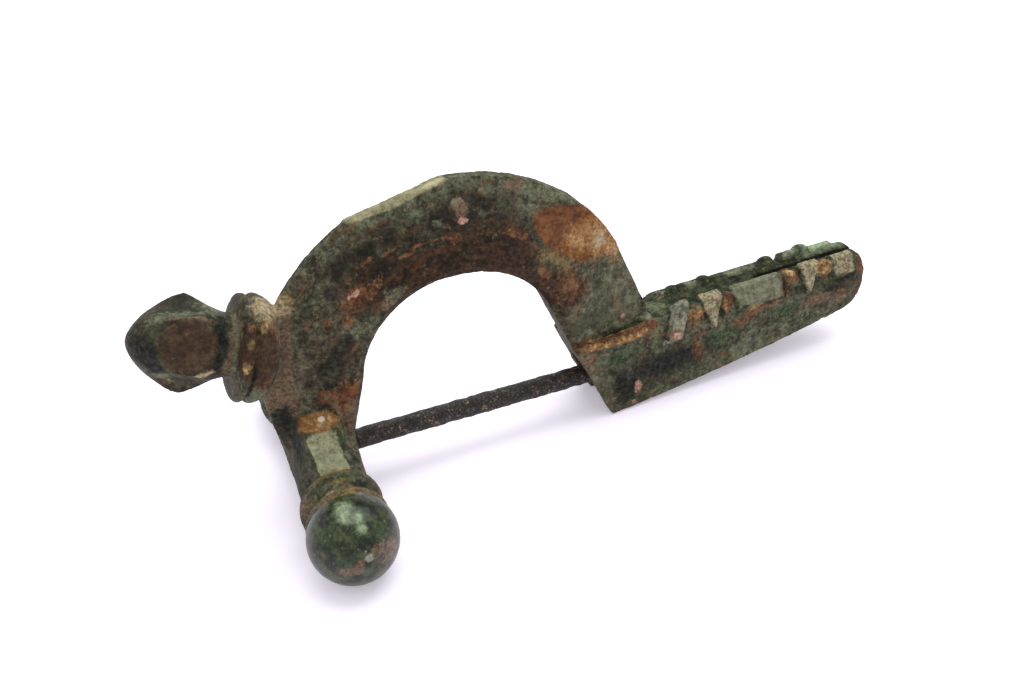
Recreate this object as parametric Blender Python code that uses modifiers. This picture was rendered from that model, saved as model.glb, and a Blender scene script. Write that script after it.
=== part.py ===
"""Late Roman crossbow brooch: a cast copper-alloy body and an iron pin on a hinge axis.

Lengths are in millimetres until a mesh is made. X runs from the head knob (-X) to the foot (+X),
Y across the brooch along its crossbar, Z up. The brooch stands on its two arm knobs and on the
front corner of its foot, at Z = 0. Distances along X are measured from the middle of the arm
knobs, and every piece is then set back by MIDDLE_X, so the middle of the length is near X = 0.
"""

import math

import bmesh
import bpy
from mathutils import Matrix, Vector

MM = 0.001
MERGE = 0.00001
PIECE_GAP = 0.3

FOOT_TIP_X = 63.85
MIDDLE_X = 24.65

# Bow: a half ring of three-cornered section that ends in two straight legs
BOW_X, BOW_Z = 15.5, 10.5
BOW_INNER_R = 11.0
BOW_OUTER_R = 20.2
INNER_HALF_WIDTH = 2.5
WIDEST_HALF_WIDTH = 3.0
CREST_HALF_WIDTH = 0.55
FOOT_LEG_WIDEST_HALF, FOOT_LEG_CREST_HALF = 2.1, 0.75
NARROWING_START = 0.6
FOOT_LEG_LEAN = math.radians(21.8)
HEAD_LEG_LEAN = math.radians(15.5)
HEAD_LEG_INSET = 1.0
HEAD_SHOULDER = math.radians(15.0)
LEG_BOTTOM_Z = 3.1
FOOT_LEG_BOTTOM_Z = 7.8
BOW_STEPS = 36

# Wear: a flat along the crest, and beyond it, towards the head, a lower crest
WEAR_START, WEAR_END = math.radians(88.0), math.radians(116.0)
WEAR_STEP_DEPTH, WEAR_HEAD_DEPTH = 0.25, 0.55

# Crossbar: seven-cornered arms that rise towards the bow, each ending in a two-ring collar
# and a knob
ARM_X, ARM_SKEW = 0.95, 0.03
ARM_END = 9.6
ARM_BOTTOM_Z, ARM_WAIST_Z, ARM_TOP_Z = 1.2, 3.4, 7.1
ARM_BOTTOM_HALF, ARM_WAIST_HALF, ARM_TOP_HALF = 2.6, 3.3, 1.3
ARM_LEFT_WAIST_HALF = 3.6
ARM_RISE, ARM_RISE_START_Y, ARM_RISE_END_Y = 3.0, 1.6, 6.6
ARM_COLLAR_SHIFT = -0.35
KNOB_R = 4.3
KNOB_Y = 13.83
REST_FLAT_DEPTH = 0.1
KNOB_Z = KNOB_R - REST_FLAT_DEPTH

# Head knob: an onion with six flats, on a tilted axis
HEAD_X, HEAD_Z = -9.57, 20.52
HEAD_TILT = math.radians(20.0)
HEAD_ROOT = 11.0
HEAD_COLLAR_DROP = 0.3
HEAD_FLAT_ANGLES = (25.5, 89.3, 147.3, 205.6, 264.0, 321.7)
HEAD_FLAT_DEPTH = 3.6
HEAD_FLAT_LEAN = math.radians(6.0)

# Foot: a sheath, open below, that takes the pin
FOOT_FRONT_X = 31.75
FOOT_FRONT_LEAN = 0.43
FOOT_HALF_FRONT, FOOT_HALF_END = 3.8, 2.8
FOOT_WALL_HALF_FRONT, FOOT_WALL_HALF_END = 3.1, 2.6
FOOT_FRONT_TOP_HALF, FOOT_TOP_HALF = 2.9, 1.65
FOOT_FRONT_TOP_Z, FOOT_TOP_Z, FOOT_TOP_RISE = 8.9, 9.5, 0.018
FOOT_FRONT_SHOULDER, FOOT_SHOULDER = 0.5, 2.0
FOOT_SHOULDER_START_X, FOOT_SHOULDER_FULL_X = 34.0, 41.0
FOOT_BOTTOM_RISE, FOOT_BOTTOM_CURVE = 0.07, 0.0022
FOOT_HEEL_R, FOOT_TOE_R = 2.7, 1.1
FOOT_STEPS = 20
SHEATH_HALF = 1.75
SHEATH_ROOF = 2.4
SHEATH_END_X = 57.5
GROOVE_START_X, GROOVE_HALF = 50.0, 0.75
BEAD_R = 0.45
BEAD_START_X, BEAD_END_X = 28.6, 37.4
BEAD_START_Y, BEAD_END_Y = 2.9, 2.3

# Ornaments on the foot's near shoulder: middle, length at the top and at the bottom, hang, and
# how far the bottom lies from the middle. The far row is a little nearer to the bow.
ORNAMENTS = [
    (40.5, 2.4, 2.1, 1.45, -1.1),
    (44.4, 2.4, 0.3, 1.25, -0.3),
    (50.1, 6.0, 5.6, 0.85, 0.1),
    (56.8, 2.3, 0.3, 1.05, -0.6),
    (61.1, 2.6, 2.4, 0.8, 0.0),
]
PELLETS = [(42.45, 1.0, 0.5), (46.2, 0.95, 0.6), (54.1, 0.95, 0.65), (58.6, 1.0, 0.8)]
PELLET_Y, NEAR_PELLET_DROP = 1.75, 0.35
FAR_ROW_SHIFT = -0.8
ORNAMENT_PROUD, ORNAMENT_DEPTH = 0.4, 0.5
ORNAMENT_ROOT = 0.75

# Hinge and pin
HINGE_X, HINGE_Z = 0.95, 4.1
AXIS_R, AXIS_HALF = 0.65, 3.6
EYE_R, EYE_HALF = 2.1, 0.95
EYE_HOLE_R = AXIS_R + PIECE_GAP
SLOT_R = EYE_R + PIECE_GAP + 0.05
SLOT_HALF = 1.35
SLOT_END_X = 7.0
PIN_R = 1.05
PIN_START_X, PIN_FOOT_X, PIN_TIP_X = HINGE_X + 1.3, 31.0, 51.0
PIN_FOOT_Z, PIN_TIP_Z = 3.5, 3.9
PIN_STEPS = 18

BRONZE = (0.105, 0.115, 0.085, 1.0)
IRON = (0.075, 0.06, 0.05, 1.0)


def new_material(name, colour, roughness, metallic):
    made = bpy.data.materials.new(name)
    made.use_nodes = True
    shader = made.node_tree.nodes["Principled BSDF"]
    shader.inputs["Base Color"].default_value = colour
    shader.inputs["Roughness"].default_value = roughness
    shader.inputs["Metallic"].default_value = metallic
    made.diffuse_color = colour
    return made


def new_collection(name):
    made = bpy.data.collections.new(name)
    bpy.context.scene.collection.children.link(made)
    return made


def as_guide(made):
    """A guide is joined to or cut from a piece, and isn't a piece itself."""
    made.hide_render = True
    made.display_type = "WIRE"
    return made


def add_mesh(name, bm, collection):
    """Makes an object of a bmesh in millimetres, set back by MIDDLE_X."""
    bmesh.ops.transform(bm, matrix=Matrix.Scale(MM, 4), verts=bm.verts)
    mesh = bpy.data.meshes.new(name)
    bm.to_mesh(mesh)
    bm.free()
    made = bpy.data.objects.new(name, mesh)
    made.location.x = -MIDDLE_X * MM
    collection.objects.link(made)
    return made


def loft(name, rings, collection):
    """A closed solid through rings of points that all have the same number of points."""
    bm = bmesh.new()
    rows = [[bm.verts.new(point) for point in ring] for ring in rings]
    count = len(rows[0])
    for row, following in zip(rows, rows[1:]):
        for i in range(count):
            j = (i + 1) % count
            bm.faces.new((row[i], row[j], following[j], following[i]))
    bm.faces.new(rows[0][::-1])
    bm.faces.new(rows[-1])
    bmesh.ops.recalc_face_normals(bm, faces=bm.faces)
    return add_mesh(name, bm, collection)


def turned(name, profile, root, direction, sides, collection, is_ring=False):
    """A turned solid. The profile lists (distance from the root along direction, radius)."""
    bm = bmesh.new()
    verts = [bm.verts.new((radius * MM, 0.0, along * MM)) for along, radius in profile[::-1]]
    for upper, lower in zip(verts, verts[1:] + verts[:1] if is_ring else verts[1:]):
        bm.edges.new((upper, lower))
    mesh = bpy.data.meshes.new(name)
    bm.to_mesh(mesh)
    bm.free()
    made = bpy.data.objects.new(name, mesh)
    turn = Vector(direction).to_track_quat("Z", "Y").to_matrix().to_4x4()
    place = Vector(root) - Vector((MIDDLE_X, 0.0, 0.0))
    made.matrix_world = Matrix.Translation(place * MM) @ turn
    screw = made.modifiers.new("Turn", "SCREW")
    screw.axis = "Z"
    screw.angle = math.tau
    screw.steps = sides
    screw.render_steps = sides
    screw.use_merge_vertices = True
    screw.merge_threshold = MERGE
    collection.objects.link(made)
    return made


def box(name, low, high, collection, turn=None):
    """A box between two corners, turned about its middle."""
    bm = bmesh.new()
    bmesh.ops.create_cube(bm, size=1.0)
    low, high = Vector(low), Vector(high)
    size = Matrix.Diagonal((*(high - low), 1.0))
    place = Matrix.Translation((low + high) / 2) @ (turn or Matrix()) @ size
    bmesh.ops.transform(bm, matrix=place, verts=bm.verts)
    return add_mesh(name, bm, collection)


def rod(name, radius, middle, length, axis, sides, collection):
    """A cylinder along X or Y."""
    bm = bmesh.new()
    bmesh.ops.create_cone(
        bm, cap_ends=True, segments=sides, radius1=radius, radius2=radius, depth=length
    )
    turn = Matrix.Rotation(math.radians(90.0), 4, "X" if axis == "Y" else "Y")
    bmesh.ops.transform(bm, matrix=Matrix.Translation(middle) @ turn, verts=bm.verts)
    return add_mesh(name, bm, collection)


def combine(target, operation, operand):
    """Adds a live Boolean with the pieces of a collection."""
    boolean = target.modifiers.new(operation.title(), "BOOLEAN")
    boolean.operation = operation
    boolean.solver = "EXACT"
    boolean.operand_type = "COLLECTION"
    boolean.collection = operand


def mix(start, end, share):
    return start + (end - start) * share


def on_ring(radius, angle):
    return Vector((BOW_X + radius * math.cos(angle), BOW_Z + radius * math.sin(angle)))


def crest_radius(angle):
    """The crest's distance from the bow's centre, with its wear."""
    if WEAR_START < angle <= WEAR_END:
        middle, half = (WEAR_START + WEAR_END) / 2, (WEAR_END - WEAR_START) / 2
        return BOW_OUTER_R * math.cos(half) / math.cos(angle - middle)
    if angle > WEAR_END:
        share = (angle - WEAR_END) / (math.pi - HEAD_SHOULDER - WEAR_END)
        return BOW_OUTER_R - mix(WEAR_STEP_DEPTH, WEAR_HEAD_DEPTH, min(1.0, share))
    return BOW_OUTER_R


def inner_radius(share):
    """The ring is thicker inside where it comes down to the crossbar."""
    return BOW_INNER_R - HEAD_LEG_INSET * max(0.0, 1.0 - share / 0.45) ** 1.5


def down_leg(start, lean, side, bottom, share):
    """A point on the straight leg that leaves the ring at start and leans outwards."""
    z = mix(start.y, bottom, share)
    return Vector((start.x + side * math.tan(lean) * (start.y - z), z))


def bow_section(inner, outer, share=0.0):
    """A three-cornered section between a point on the inner and one on the outer edge.

    It's narrower where the ring, at a share of its length, nears the foot."""
    narrowed = max(0.0, (share - NARROWING_START) / (1.0 - NARROWING_START))
    widest = mix(WIDEST_HALF_WIDTH, FOOT_LEG_WIDEST_HALF, narrowed)
    crest = mix(CREST_HALF_WIDTH, FOOT_LEG_CREST_HALF, narrowed)
    edge = WIDEST_HALF_WIDTH - INNER_HALF_WIDTH
    outline = [(0.0, widest - edge), (0.1, widest), (0.97, crest + 0.15), (1.0, crest)]
    near = [(inner.lerp(outer, share), -half) for share, half in outline]
    far = [(point, -half) for point, half in near[::-1]]
    return [(point.x, half, point.y) for point, half in near + far]


def bow_sections():
    """Sections from the bottom of the head leg, over the bow, to the bottom of the foot leg."""
    head_inner = on_ring(inner_radius(0.0), math.pi - HEAD_LEG_LEAN)
    shoulder = math.pi - HEAD_SHOULDER
    head_outer = on_ring(crest_radius(shoulder), shoulder)
    foot_inner = on_ring(BOW_INNER_R, FOOT_LEG_LEAN)
    foot_outer = on_ring(BOW_OUTER_R, FOOT_LEG_LEAN)
    heel = Vector((ARM_X - ARM_BOTTOM_HALF, LEG_BOTTOM_Z))
    bulge = Vector((head_outer.x - 0.4, (head_outer.y + LEG_BOTTOM_Z) / 2))
    sections = []
    for share in (1.0, 0.75, 0.5, 0.25):
        inner = down_leg(head_inner, HEAD_LEG_LEAN, -1, LEG_BOTTOM_Z, share)
        outer = head_outer.lerp(bulge, share).lerp(bulge.lerp(heel, share), share)
        sections.append(bow_section(inner, outer))
    for step in range(BOW_STEPS + 1):
        share = step / BOW_STEPS
        inner_angle = mix(math.pi - HEAD_LEG_LEAN, FOOT_LEG_LEAN, share)
        inner = on_ring(inner_radius(share), inner_angle)
        outer_angle = mix(shoulder, FOOT_LEG_LEAN, share)
        outer = on_ring(crest_radius(outer_angle), outer_angle)
        sections.append(bow_section(inner, outer, share))
    for share in (0.5, 1.0):
        inner = down_leg(foot_inner, FOOT_LEG_LEAN, 1, FOOT_LEG_BOTTOM_Z, share)
        outer = down_leg(foot_outer, FOOT_LEG_LEAN, 1, FOOT_LEG_BOTTOM_Z, share)
        sections.append(bow_section(inner, outer, 1.0))
    return sections


def arm_section(y):
    """The top facet rises and widens towards the bow."""
    rise = (ARM_RISE_END_Y - abs(y)) / (ARM_RISE_END_Y - ARM_RISE_START_Y)
    rise = min(1.0, max(0.0, rise))
    top_z, top_half, shift = ARM_TOP_Z + ARM_RISE * rise, ARM_TOP_HALF + 0.65 * rise, -0.24 - 0.05 * rise
    left = [
        (-ARM_BOTTOM_HALF, ARM_BOTTOM_Z),
        (-ARM_LEFT_WAIST_HALF, ARM_WAIST_Z),
        (shift - top_half, top_z),
    ]
    right = [
        (shift + top_half, top_z),
        (mix(2.6, 3.2, rise), mix(6.2, 8.0, rise)),
        (ARM_WAIST_HALF, ARM_WAIST_Z),
        (ARM_BOTTOM_HALF, ARM_BOTTOM_Z),
    ]
    return [(ARM_X + ARM_SKEW * y + x, y, z) for x, z in left + right]


def arm_collar_profile():
    """Two rings, by distance from the middle of the brooch."""
    first = [(7.7, 0.0), (7.8, 3.0), (8.5, 3.8), (9.4, 3.95), (10.2, 3.8), (10.75, 3.45)]
    second = [(11.1, 3.75), (11.6, 4.0), (12.05, 3.75), (12.3, 0.0)]
    return first + second


def arm_knob_profile():
    """A ball with a small point."""
    start, end = math.radians(-40.0), math.radians(80.0)
    ball = [(KNOB_Y + KNOB_R * math.sin(start), 0.0)]
    for step in range(10):
        angle = mix(start, end, step / 9)
        ball.append((KNOB_Y + KNOB_R * math.sin(angle), KNOB_R * math.cos(angle)))
    return ball + [(KNOB_Y + KNOB_R + 0.15, 0.35), (KNOB_Y + KNOB_R + 0.25, 0.0)]


def head_collar_profile():
    """Two rings, by distance from the head knob's root in the bow."""
    first = [(3.0, 0.0), (3.0, 3.4), (3.5, 4.4), (4.2, 4.9), (4.95, 5.15), (5.45, 4.6)]
    second = [(5.75, 4.95), (6.1, 5.08), (6.4, 4.75), (6.7, 3.6), (6.8, 0.0)]
    return first + second


def head_knob_profile():
    """A neck and an onion."""
    neck = [(4.0, 0.0), (4.0, 2.9), (6.7, 2.92), (8.2, 3.25)]
    onion = [(9.5, 3.85), (10.6, 4.42), (11.4, 4.62), (12.2, 4.5), (13.2, 3.9)]
    tip = [(14.3, 2.9), (15.2, 1.8), (15.75, 0.9), (16.0, 0.0)]
    return neck + onion + tip


def shoulder_share(x):
    """The foot's top is broad and low beside the bow, then high and narrow with shoulders."""
    span = FOOT_SHOULDER_FULL_X - FOOT_SHOULDER_START_X
    return min(1.0, max(0.0, (x - FOOT_SHOULDER_START_X) / span))


def foot_top(x):
    lost = FOOT_TOE_R - math.sqrt(FOOT_TOE_R**2 - max(0.0, x - FOOT_TIP_X + FOOT_TOE_R) ** 2)
    high = FOOT_TOP_Z + FOOT_TOP_RISE * (x - FOOT_FRONT_X) - lost
    return mix(FOOT_FRONT_TOP_Z, high, shoulder_share(x))


def foot_bottom(x):
    lost = FOOT_HEEL_R - math.sqrt(FOOT_HEEL_R**2 - max(0.0, x - FOOT_TIP_X + FOOT_HEEL_R) ** 2)
    along = x - FOOT_FRONT_X
    return FOOT_BOTTOM_RISE * along + FOOT_BOTTOM_CURVE * along**2 + lost - REST_FLAT_DEPTH


def foot_halves(x):
    """Half the foot's width at the bottom, at the top of its walls and at its top."""
    share = (x - FOOT_FRONT_X) / (FOOT_TIP_X - FOOT_FRONT_X)
    narrowed = 1.0 - 0.15 * max(0.0, (share - 0.93) / 0.07) ** 2
    bottom = mix(FOOT_HALF_FRONT, FOOT_HALF_END, share)
    wall = mix(FOOT_WALL_HALF_FRONT, FOOT_WALL_HALF_END, share)
    top = mix(FOOT_FRONT_TOP_HALF, FOOT_TOP_HALF, shoulder_share(x))
    return bottom * narrowed, wall * narrowed, top * narrowed


def foot_shoulder(x):
    room = foot_top(x) - foot_bottom(x)
    return min(mix(FOOT_FRONT_SHOULDER, FOOT_SHOULDER, shoulder_share(x)), 0.4 * room)


def foot_section(share):
    """Walls that lean in, sloping shoulders, and a front end that leans back to the bow's leg."""
    x = mix(FOOT_FRONT_X, FOOT_TIP_X, share)
    lean = FOOT_FRONT_LEAN * (1.0 - share) ** 3
    half, wall, top_half = foot_halves(x)
    top, bottom = foot_top(x), foot_bottom(x)
    height = top - bottom
    near = [
        (half - 0.3, bottom),
        (half - 0.05, bottom + 0.02 * height),
        (half, bottom + 0.06 * height),
        (wall, top - foot_shoulder(x)),
        (top_half, top),
    ]
    ring = [(-y, z) for y, z in near] + near[::-1]
    return [(x - lean * z, y, z) for y, z in ring]


def foot_sections():
    """Sections crowd together where the foot rounds off at its tip."""
    even = [step / FOOT_STEPS for step in range(FOOT_STEPS)]
    tip = [0.965, 0.98, 0.99, 0.997, 1.0]
    return [foot_section(share) for share in even + tip]


def over_shoulder(x, along, lift, side):
    """A point over the foot's top (along 0 to 1) or its sloping shoulder (along 1 to 2)."""
    _, wall, top_half = foot_halves(x)
    top = foot_top(x)
    inner = Vector((top_half - ORNAMENT_ROOT, top + lift))
    corner = Vector((top_half + 0.5 * lift, top + lift))
    low = Vector((wall + 0.8 * lift, top - foot_shoulder(x) + 0.4 * lift))
    point = inner.lerp(corner, along) if along < 1.0 else corner + (low - corner) * (along - 1.0)
    return (x, side * point.x, point.y)


def add_ornament(sizes, side, collection):
    """A lug, a plate or a pointed tooth that lies on the foot's top edge and hangs over it."""
    middle, top_length, bottom_length, hang, slant = sizes
    middle += FAR_ROW_SHIFT if side > 0.0 else 0.0
    rings = []
    stages = ((0.0, top_length, 0.0), (1.0, top_length, 0.0), (1.0 + hang, bottom_length, slant))
    for along, length, shift in stages:
        start, end = middle + shift - length / 2, middle + shift + length / 2
        ring = [over_shoulder(x, along, ORNAMENT_PROUD, side) for x in (start, end)]
        ring += [over_shoulder(x, along, -ORNAMENT_DEPTH, side) for x in (end, start)]
        rings.append(ring)
    name = f"ornament_{middle:.0f}_{'near' if side < 0 else 'far'}"
    as_guide(loft(name, rings, collection))


def add_pellet(x, radius, above, side, collection):
    """A round pellet between two ornaments, which stands a little above the shoulder's edge."""
    x += FAR_ROW_SHIFT if side > 0.0 else 0.0
    z = foot_top(x) + above - radius - (NEAR_PELLET_DROP if side < 0.0 else 0.0)
    bm = bmesh.new()
    place = Matrix.Translation((x, side * PELLET_Y, z)) @ Matrix.Diagonal((1.0, 0.75, 1.0, 1.0))
    bmesh.ops.create_uvsphere(bm, u_segments=10, v_segments=6, radius=radius, matrix=place)
    name = f"pellet_{x:.0f}_{'near' if side < 0 else 'far'}"
    as_guide(add_mesh(name, bm, collection))


def add_bead(side, collection):
    """The raised border of the foot beside the bow, which comes nearer to the middle."""
    rings = []
    for x, y in ((BEAD_START_X, BEAD_START_Y), (BEAD_END_X, BEAD_END_Y)):
        turns = [math.tau * i / 8 for i in range(8)]
        ring = [(y + BEAD_R * math.cos(turn), BEAD_R * math.sin(turn)) for turn in turns]
        rings.append([(x, side * across, foot_top(x) + up) for across, up in ring])
    as_guide(loft(f"bead_{'near' if side < 0 else 'far'}", rings, collection))


def add_casting_parts(collection):
    """Everything that the casting's bow grows together with."""
    turns = (ARM_RISE_START_Y, ARM_RISE_END_Y, ARM_END)
    arms = [arm_section(y) for y in [-y for y in turns[::-1]] + list(turns)]
    as_guide(loft("crossbar", arms, collection))
    for side, name, knob_x in ((-1.0, "near", 0.1), (1.0, "far", ARM_X + ARM_SKEW * KNOB_Y)):
        way = Vector((side * ARM_SKEW, side, 0.0)).normalized()
        root = (ARM_X + ARM_COLLAR_SHIFT, 0.0, KNOB_Z)
        as_guide(turned(f"collar_{name}", arm_collar_profile(), root, way, 28, collection))
        root, way = (knob_x, 0.0, KNOB_Z), (0.0, side, 0.0)
        as_guide(turned(f"knob_{name}", arm_knob_profile(), root, way, 28, collection))
    way = Vector((-math.cos(HEAD_TILT), 0.0, math.sin(HEAD_TILT)))
    root = Vector((HEAD_X, 0.0, HEAD_Z)) - way * HEAD_ROOT
    as_guide(turned("head_knob", head_knob_profile(), root, way, 30, collection))
    root.z -= HEAD_COLLAR_DROP
    as_guide(turned("head_collar", head_collar_profile(), root, way, 30, collection))
    as_guide(loft("foot", foot_sections(), collection))
    for side in (-1.0, 1.0):
        add_bead(side, collection)
        for sizes in ORNAMENTS:
            add_ornament(sizes, side, collection)
        for x, radius, above in PELLETS:
            add_pellet(x, radius, above, side, collection)


def add_head_flats(collection):
    """Six boxes that cut flats round the head knob, a little deeper towards its tip."""
    way = Vector((-math.cos(HEAD_TILT), 0.0, math.sin(HEAD_TILT)))
    centre = Vector((HEAD_X, 0.0, HEAD_Z))
    for i, degrees in enumerate(HEAD_FLAT_ANGLES):
        sideways = Matrix.Rotation(math.radians(degrees), 3, way) @ Vector((0.0, -1.0, 0.0))
        leaning = Matrix.Rotation(HEAD_FLAT_LEAN, 3, sideways.cross(way))
        outwards, along = leaning @ sideways, leaning @ way
        bm = bmesh.new()
        bmesh.ops.create_cube(bm, size=1.0)
        size = Matrix.Diagonal((6.4, 7.0, 3.0, 1.0))
        turn = Matrix((along, outwards.cross(along), outwards)).transposed().to_4x4()
        place = Matrix.Translation(centre + outwards * (HEAD_FLAT_DEPTH + 1.5))
        bmesh.ops.transform(bm, matrix=place @ turn @ size, verts=bm.verts)
        as_guide(add_mesh(f"head_flat_{i + 1}", bm, collection))


def add_cutters(collection):
    """What is taken out of the casting."""
    add_head_flats(collection)
    end = FOOT_TIP_X + 2.0
    as_guide(box("ground", (-20.0, -25.0, -5.0), (end + 8.0, 25.0, 0.0), collection))
    sheath_low = (FOOT_FRONT_X - 8.0, -SHEATH_HALF, -2.0)
    roof_start = FOOT_FRONT_TOP_Z - SHEATH_ROOF
    roof_end = foot_top(SHEATH_END_X) - SHEATH_ROOF
    rings = []
    for x, roof in ((sheath_low[0], roof_start), (SHEATH_END_X, roof_end)):
        half = SHEATH_HALF
        corners = [(-half, -2.0), (-half, roof - 0.6), (-half + 0.6, roof)]
        ring = corners + [(-y, z) for y, z in corners[::-1]]
        rings.append([(x, y, z) for y, z in ring])
    as_guide(loft("sheath_hollow", rings, collection))
    turn = Matrix.Rotation(math.atan(FOOT_TOP_RISE), 4, "Y").inverted()
    turn = turn @ Matrix.Rotation(math.radians(45.0), 4, "X")
    half_diagonal = GROOVE_HALF / math.sqrt(2.0)
    middle_z = foot_top((GROOVE_START_X + end) / 2)
    low = (GROOVE_START_X, -half_diagonal, middle_z - half_diagonal)
    high = (end, half_diagonal, middle_z + half_diagonal)
    as_guide(box("top_groove", low, high, collection, turn))
    hinge = (HINGE_X, 0.0, HINGE_Z)
    as_guide(rod("eye_slot", SLOT_R, hinge, 2 * SLOT_HALF, "Y", 24, collection))
    low = (HINGE_X - SLOT_R, -SLOT_HALF, -1.0)
    high = (SLOT_END_X, SLOT_HALF, HINGE_Z)
    as_guide(box("swing_slot", low, high, collection))
    low = (HINGE_X, -SLOT_HALF, 0.5)
    high = (SLOT_END_X, SLOT_HALF, HINGE_Z + PIN_R + PIECE_GAP + 0.1)
    as_guide(box("pin_slot", low, high, collection))
    hole_r, hole_length = AXIS_R + PIECE_GAP, 2 * (AXIS_HALF + PIECE_GAP)
    as_guide(rod("axis_hole", hole_r, hinge, hole_length, "Y", 16, collection))


def add_casting(collection, joined, cutters):
    add_casting_parts(joined)
    add_cutters(cutters)
    body = loft("body", bow_sections(), collection)
    combine(body, "UNION", joined)
    combine(body, "DIFFERENCE", cutters)
    body.data.materials.append(new_material("patinated_bronze", BRONZE, 0.5, 0.6))
    return body


def pin_point(share):
    """The pin dips a little towards the foot and rises again inside the sheath."""
    x = mix(PIN_START_X, PIN_TIP_X, share)
    if x < PIN_FOOT_X:
        return x, mix(HINGE_Z, PIN_FOOT_Z, (x - PIN_START_X) / (PIN_FOOT_X - PIN_START_X))
    along = (x - PIN_FOOT_X) / (PIN_TIP_X - PIN_FOOT_X)
    return x, mix(PIN_FOOT_Z, PIN_TIP_Z, along * along)


def add_pin(collection, joined):
    """An iron wire that tapers to a blunt point, and the eye that turns on the axis."""
    curve = bpy.data.curves.new("pin_wire", "CURVE")
    curve.dimensions = "3D"
    curve.bevel_depth = PIN_R * MM
    curve.bevel_resolution = 2
    curve.use_fill_caps = True
    spline = curve.splines.new("POLY")
    spline.points.add(PIN_STEPS)
    for step, point in enumerate(spline.points):
        share = step / PIN_STEPS
        x, z = pin_point(share)
        point.co = ((x - MIDDLE_X) * MM, 0.0, z * MM, 1.0)
        point.radius = 1.0 - 0.6 * max(0.0, (share - 0.6) / 0.4) ** 1.5
    wire = bpy.data.objects.new("pin_wire", curve)
    collection.objects.link(wire)
    evaluated = wire.evaluated_get(bpy.context.evaluated_depsgraph_get())
    mesh = bpy.data.meshes.new_from_object(evaluated)
    bm = bmesh.new()
    bm.from_mesh(mesh)
    bmesh.ops.remove_doubles(bm, verts=bm.verts, dist=MERGE)
    bm.to_mesh(mesh)
    bm.free()
    bpy.data.objects.remove(wire)
    pin = bpy.data.objects.new("pin", mesh)
    collection.objects.link(pin)
    edge = 0.25
    profile = [
        (-EYE_HALF, EYE_HOLE_R),
        (-EYE_HALF, EYE_R - edge),
        (-EYE_HALF + edge, EYE_R),
        (EYE_HALF - edge, EYE_R),
        (EYE_HALF, EYE_R - edge),
        (EYE_HALF, EYE_HOLE_R),
    ]
    root, way = (HINGE_X, 0.0, HINGE_Z), (0.0, 1.0, 0.0)
    as_guide(turned("pin_eye", profile, root, way, 24, joined, is_ring=True))
    combine(pin, "UNION", joined)
    pin.data.materials.clear()
    pin.data.materials.append(new_material("corroded_iron", IRON, 0.75, 0.4))
    return pin


def smooth(made):
    made.data.shade_smooth()
    made.data.set_sharp_from_angle(angle=math.radians(35.0))


def main():
    for old in list(bpy.data.objects):
        bpy.data.objects.remove(old)
    brooch = new_collection("crossbow_brooch")
    casting_guides = new_collection("joined_to_casting")
    pin_guides = new_collection("joined_to_pin")
    cutters = new_collection("cut_from_casting")
    body = add_casting(brooch, casting_guides, cutters)
    pin = add_pin(brooch, pin_guides)
    hinge = (HINGE_X, 0.0, HINGE_Z)
    axis = rod("hinge_axis", AXIS_R, hinge, 2 * AXIS_HALF, "Y", 16, brooch)
    axis.data.materials.append(new_material("axis_iron", IRON, 0.7, 0.4))
    for made in (body, pin, axis):
        smooth(made)


main()
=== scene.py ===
# %% [markdown]
# # A Roman crossbow brooch
#
# This brooch closed a soldier's or an official's cloak about 1700 years ago. It is one bronze
# casting with an iron pin. The casting has a crossbar with a round knob at each end, a third
# knob at its head, a high arched bow of three-cornered section, and a foot. The foot is a
# sheath, open below, and the point of the pin lies in it. The brooch lay in the ground for
# centuries, so a crust of green, brown and rust-red corrosion covers it.
#
# Everything is modelled in millimetres, at the sizes that a maker would mark out, and then made
# smaller by a thousand, because the finished model is in metres. X runs from the head knob to
# the foot, Y along the crossbar and Z up. Sizes along X are measured from the arm knobs.

import math

import bmesh
import bpy
import numpy as np
from mathutils import Matrix, Vector


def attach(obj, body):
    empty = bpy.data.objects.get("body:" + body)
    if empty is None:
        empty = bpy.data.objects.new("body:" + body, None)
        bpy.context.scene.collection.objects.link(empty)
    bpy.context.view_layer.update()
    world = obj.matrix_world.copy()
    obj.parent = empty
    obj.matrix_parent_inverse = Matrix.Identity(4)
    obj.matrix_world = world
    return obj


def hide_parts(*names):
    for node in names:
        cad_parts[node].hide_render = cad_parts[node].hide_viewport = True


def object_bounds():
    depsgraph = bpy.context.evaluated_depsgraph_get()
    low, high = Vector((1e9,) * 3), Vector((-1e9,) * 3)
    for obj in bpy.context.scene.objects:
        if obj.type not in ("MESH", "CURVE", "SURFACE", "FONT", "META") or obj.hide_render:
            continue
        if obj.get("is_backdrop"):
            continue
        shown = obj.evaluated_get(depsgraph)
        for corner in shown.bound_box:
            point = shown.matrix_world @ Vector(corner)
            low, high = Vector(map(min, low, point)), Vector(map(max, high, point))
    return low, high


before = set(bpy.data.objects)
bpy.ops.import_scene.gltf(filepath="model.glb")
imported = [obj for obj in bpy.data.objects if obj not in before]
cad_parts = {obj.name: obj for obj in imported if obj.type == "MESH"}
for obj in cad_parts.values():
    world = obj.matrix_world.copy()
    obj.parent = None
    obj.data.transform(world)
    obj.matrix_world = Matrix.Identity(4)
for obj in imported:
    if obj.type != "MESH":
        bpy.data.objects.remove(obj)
cad_low, cad_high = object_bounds()
scene = bpy.context.scene

MM = 0.001
print("The solid model fills", [round(size / MM, 1) for size in cad_high - cad_low], "mm")

# %% [markdown]
# ## Formulas in a node tree
#
# The bow and the ornaments of the foot follow rules, so Geometry Nodes make them. A formula in
# nodes is hard to read as a web of Math nodes. A small class helps: a Field stands for a number
# that flows through a tree, and the usual signs (+, -, *, /) add Math nodes. The same function
# can then be used with plain numbers in Python and with Fields in a tree, so the foot and the
# ornaments that lie on it can't disagree about where the foot's surface is.


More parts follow.
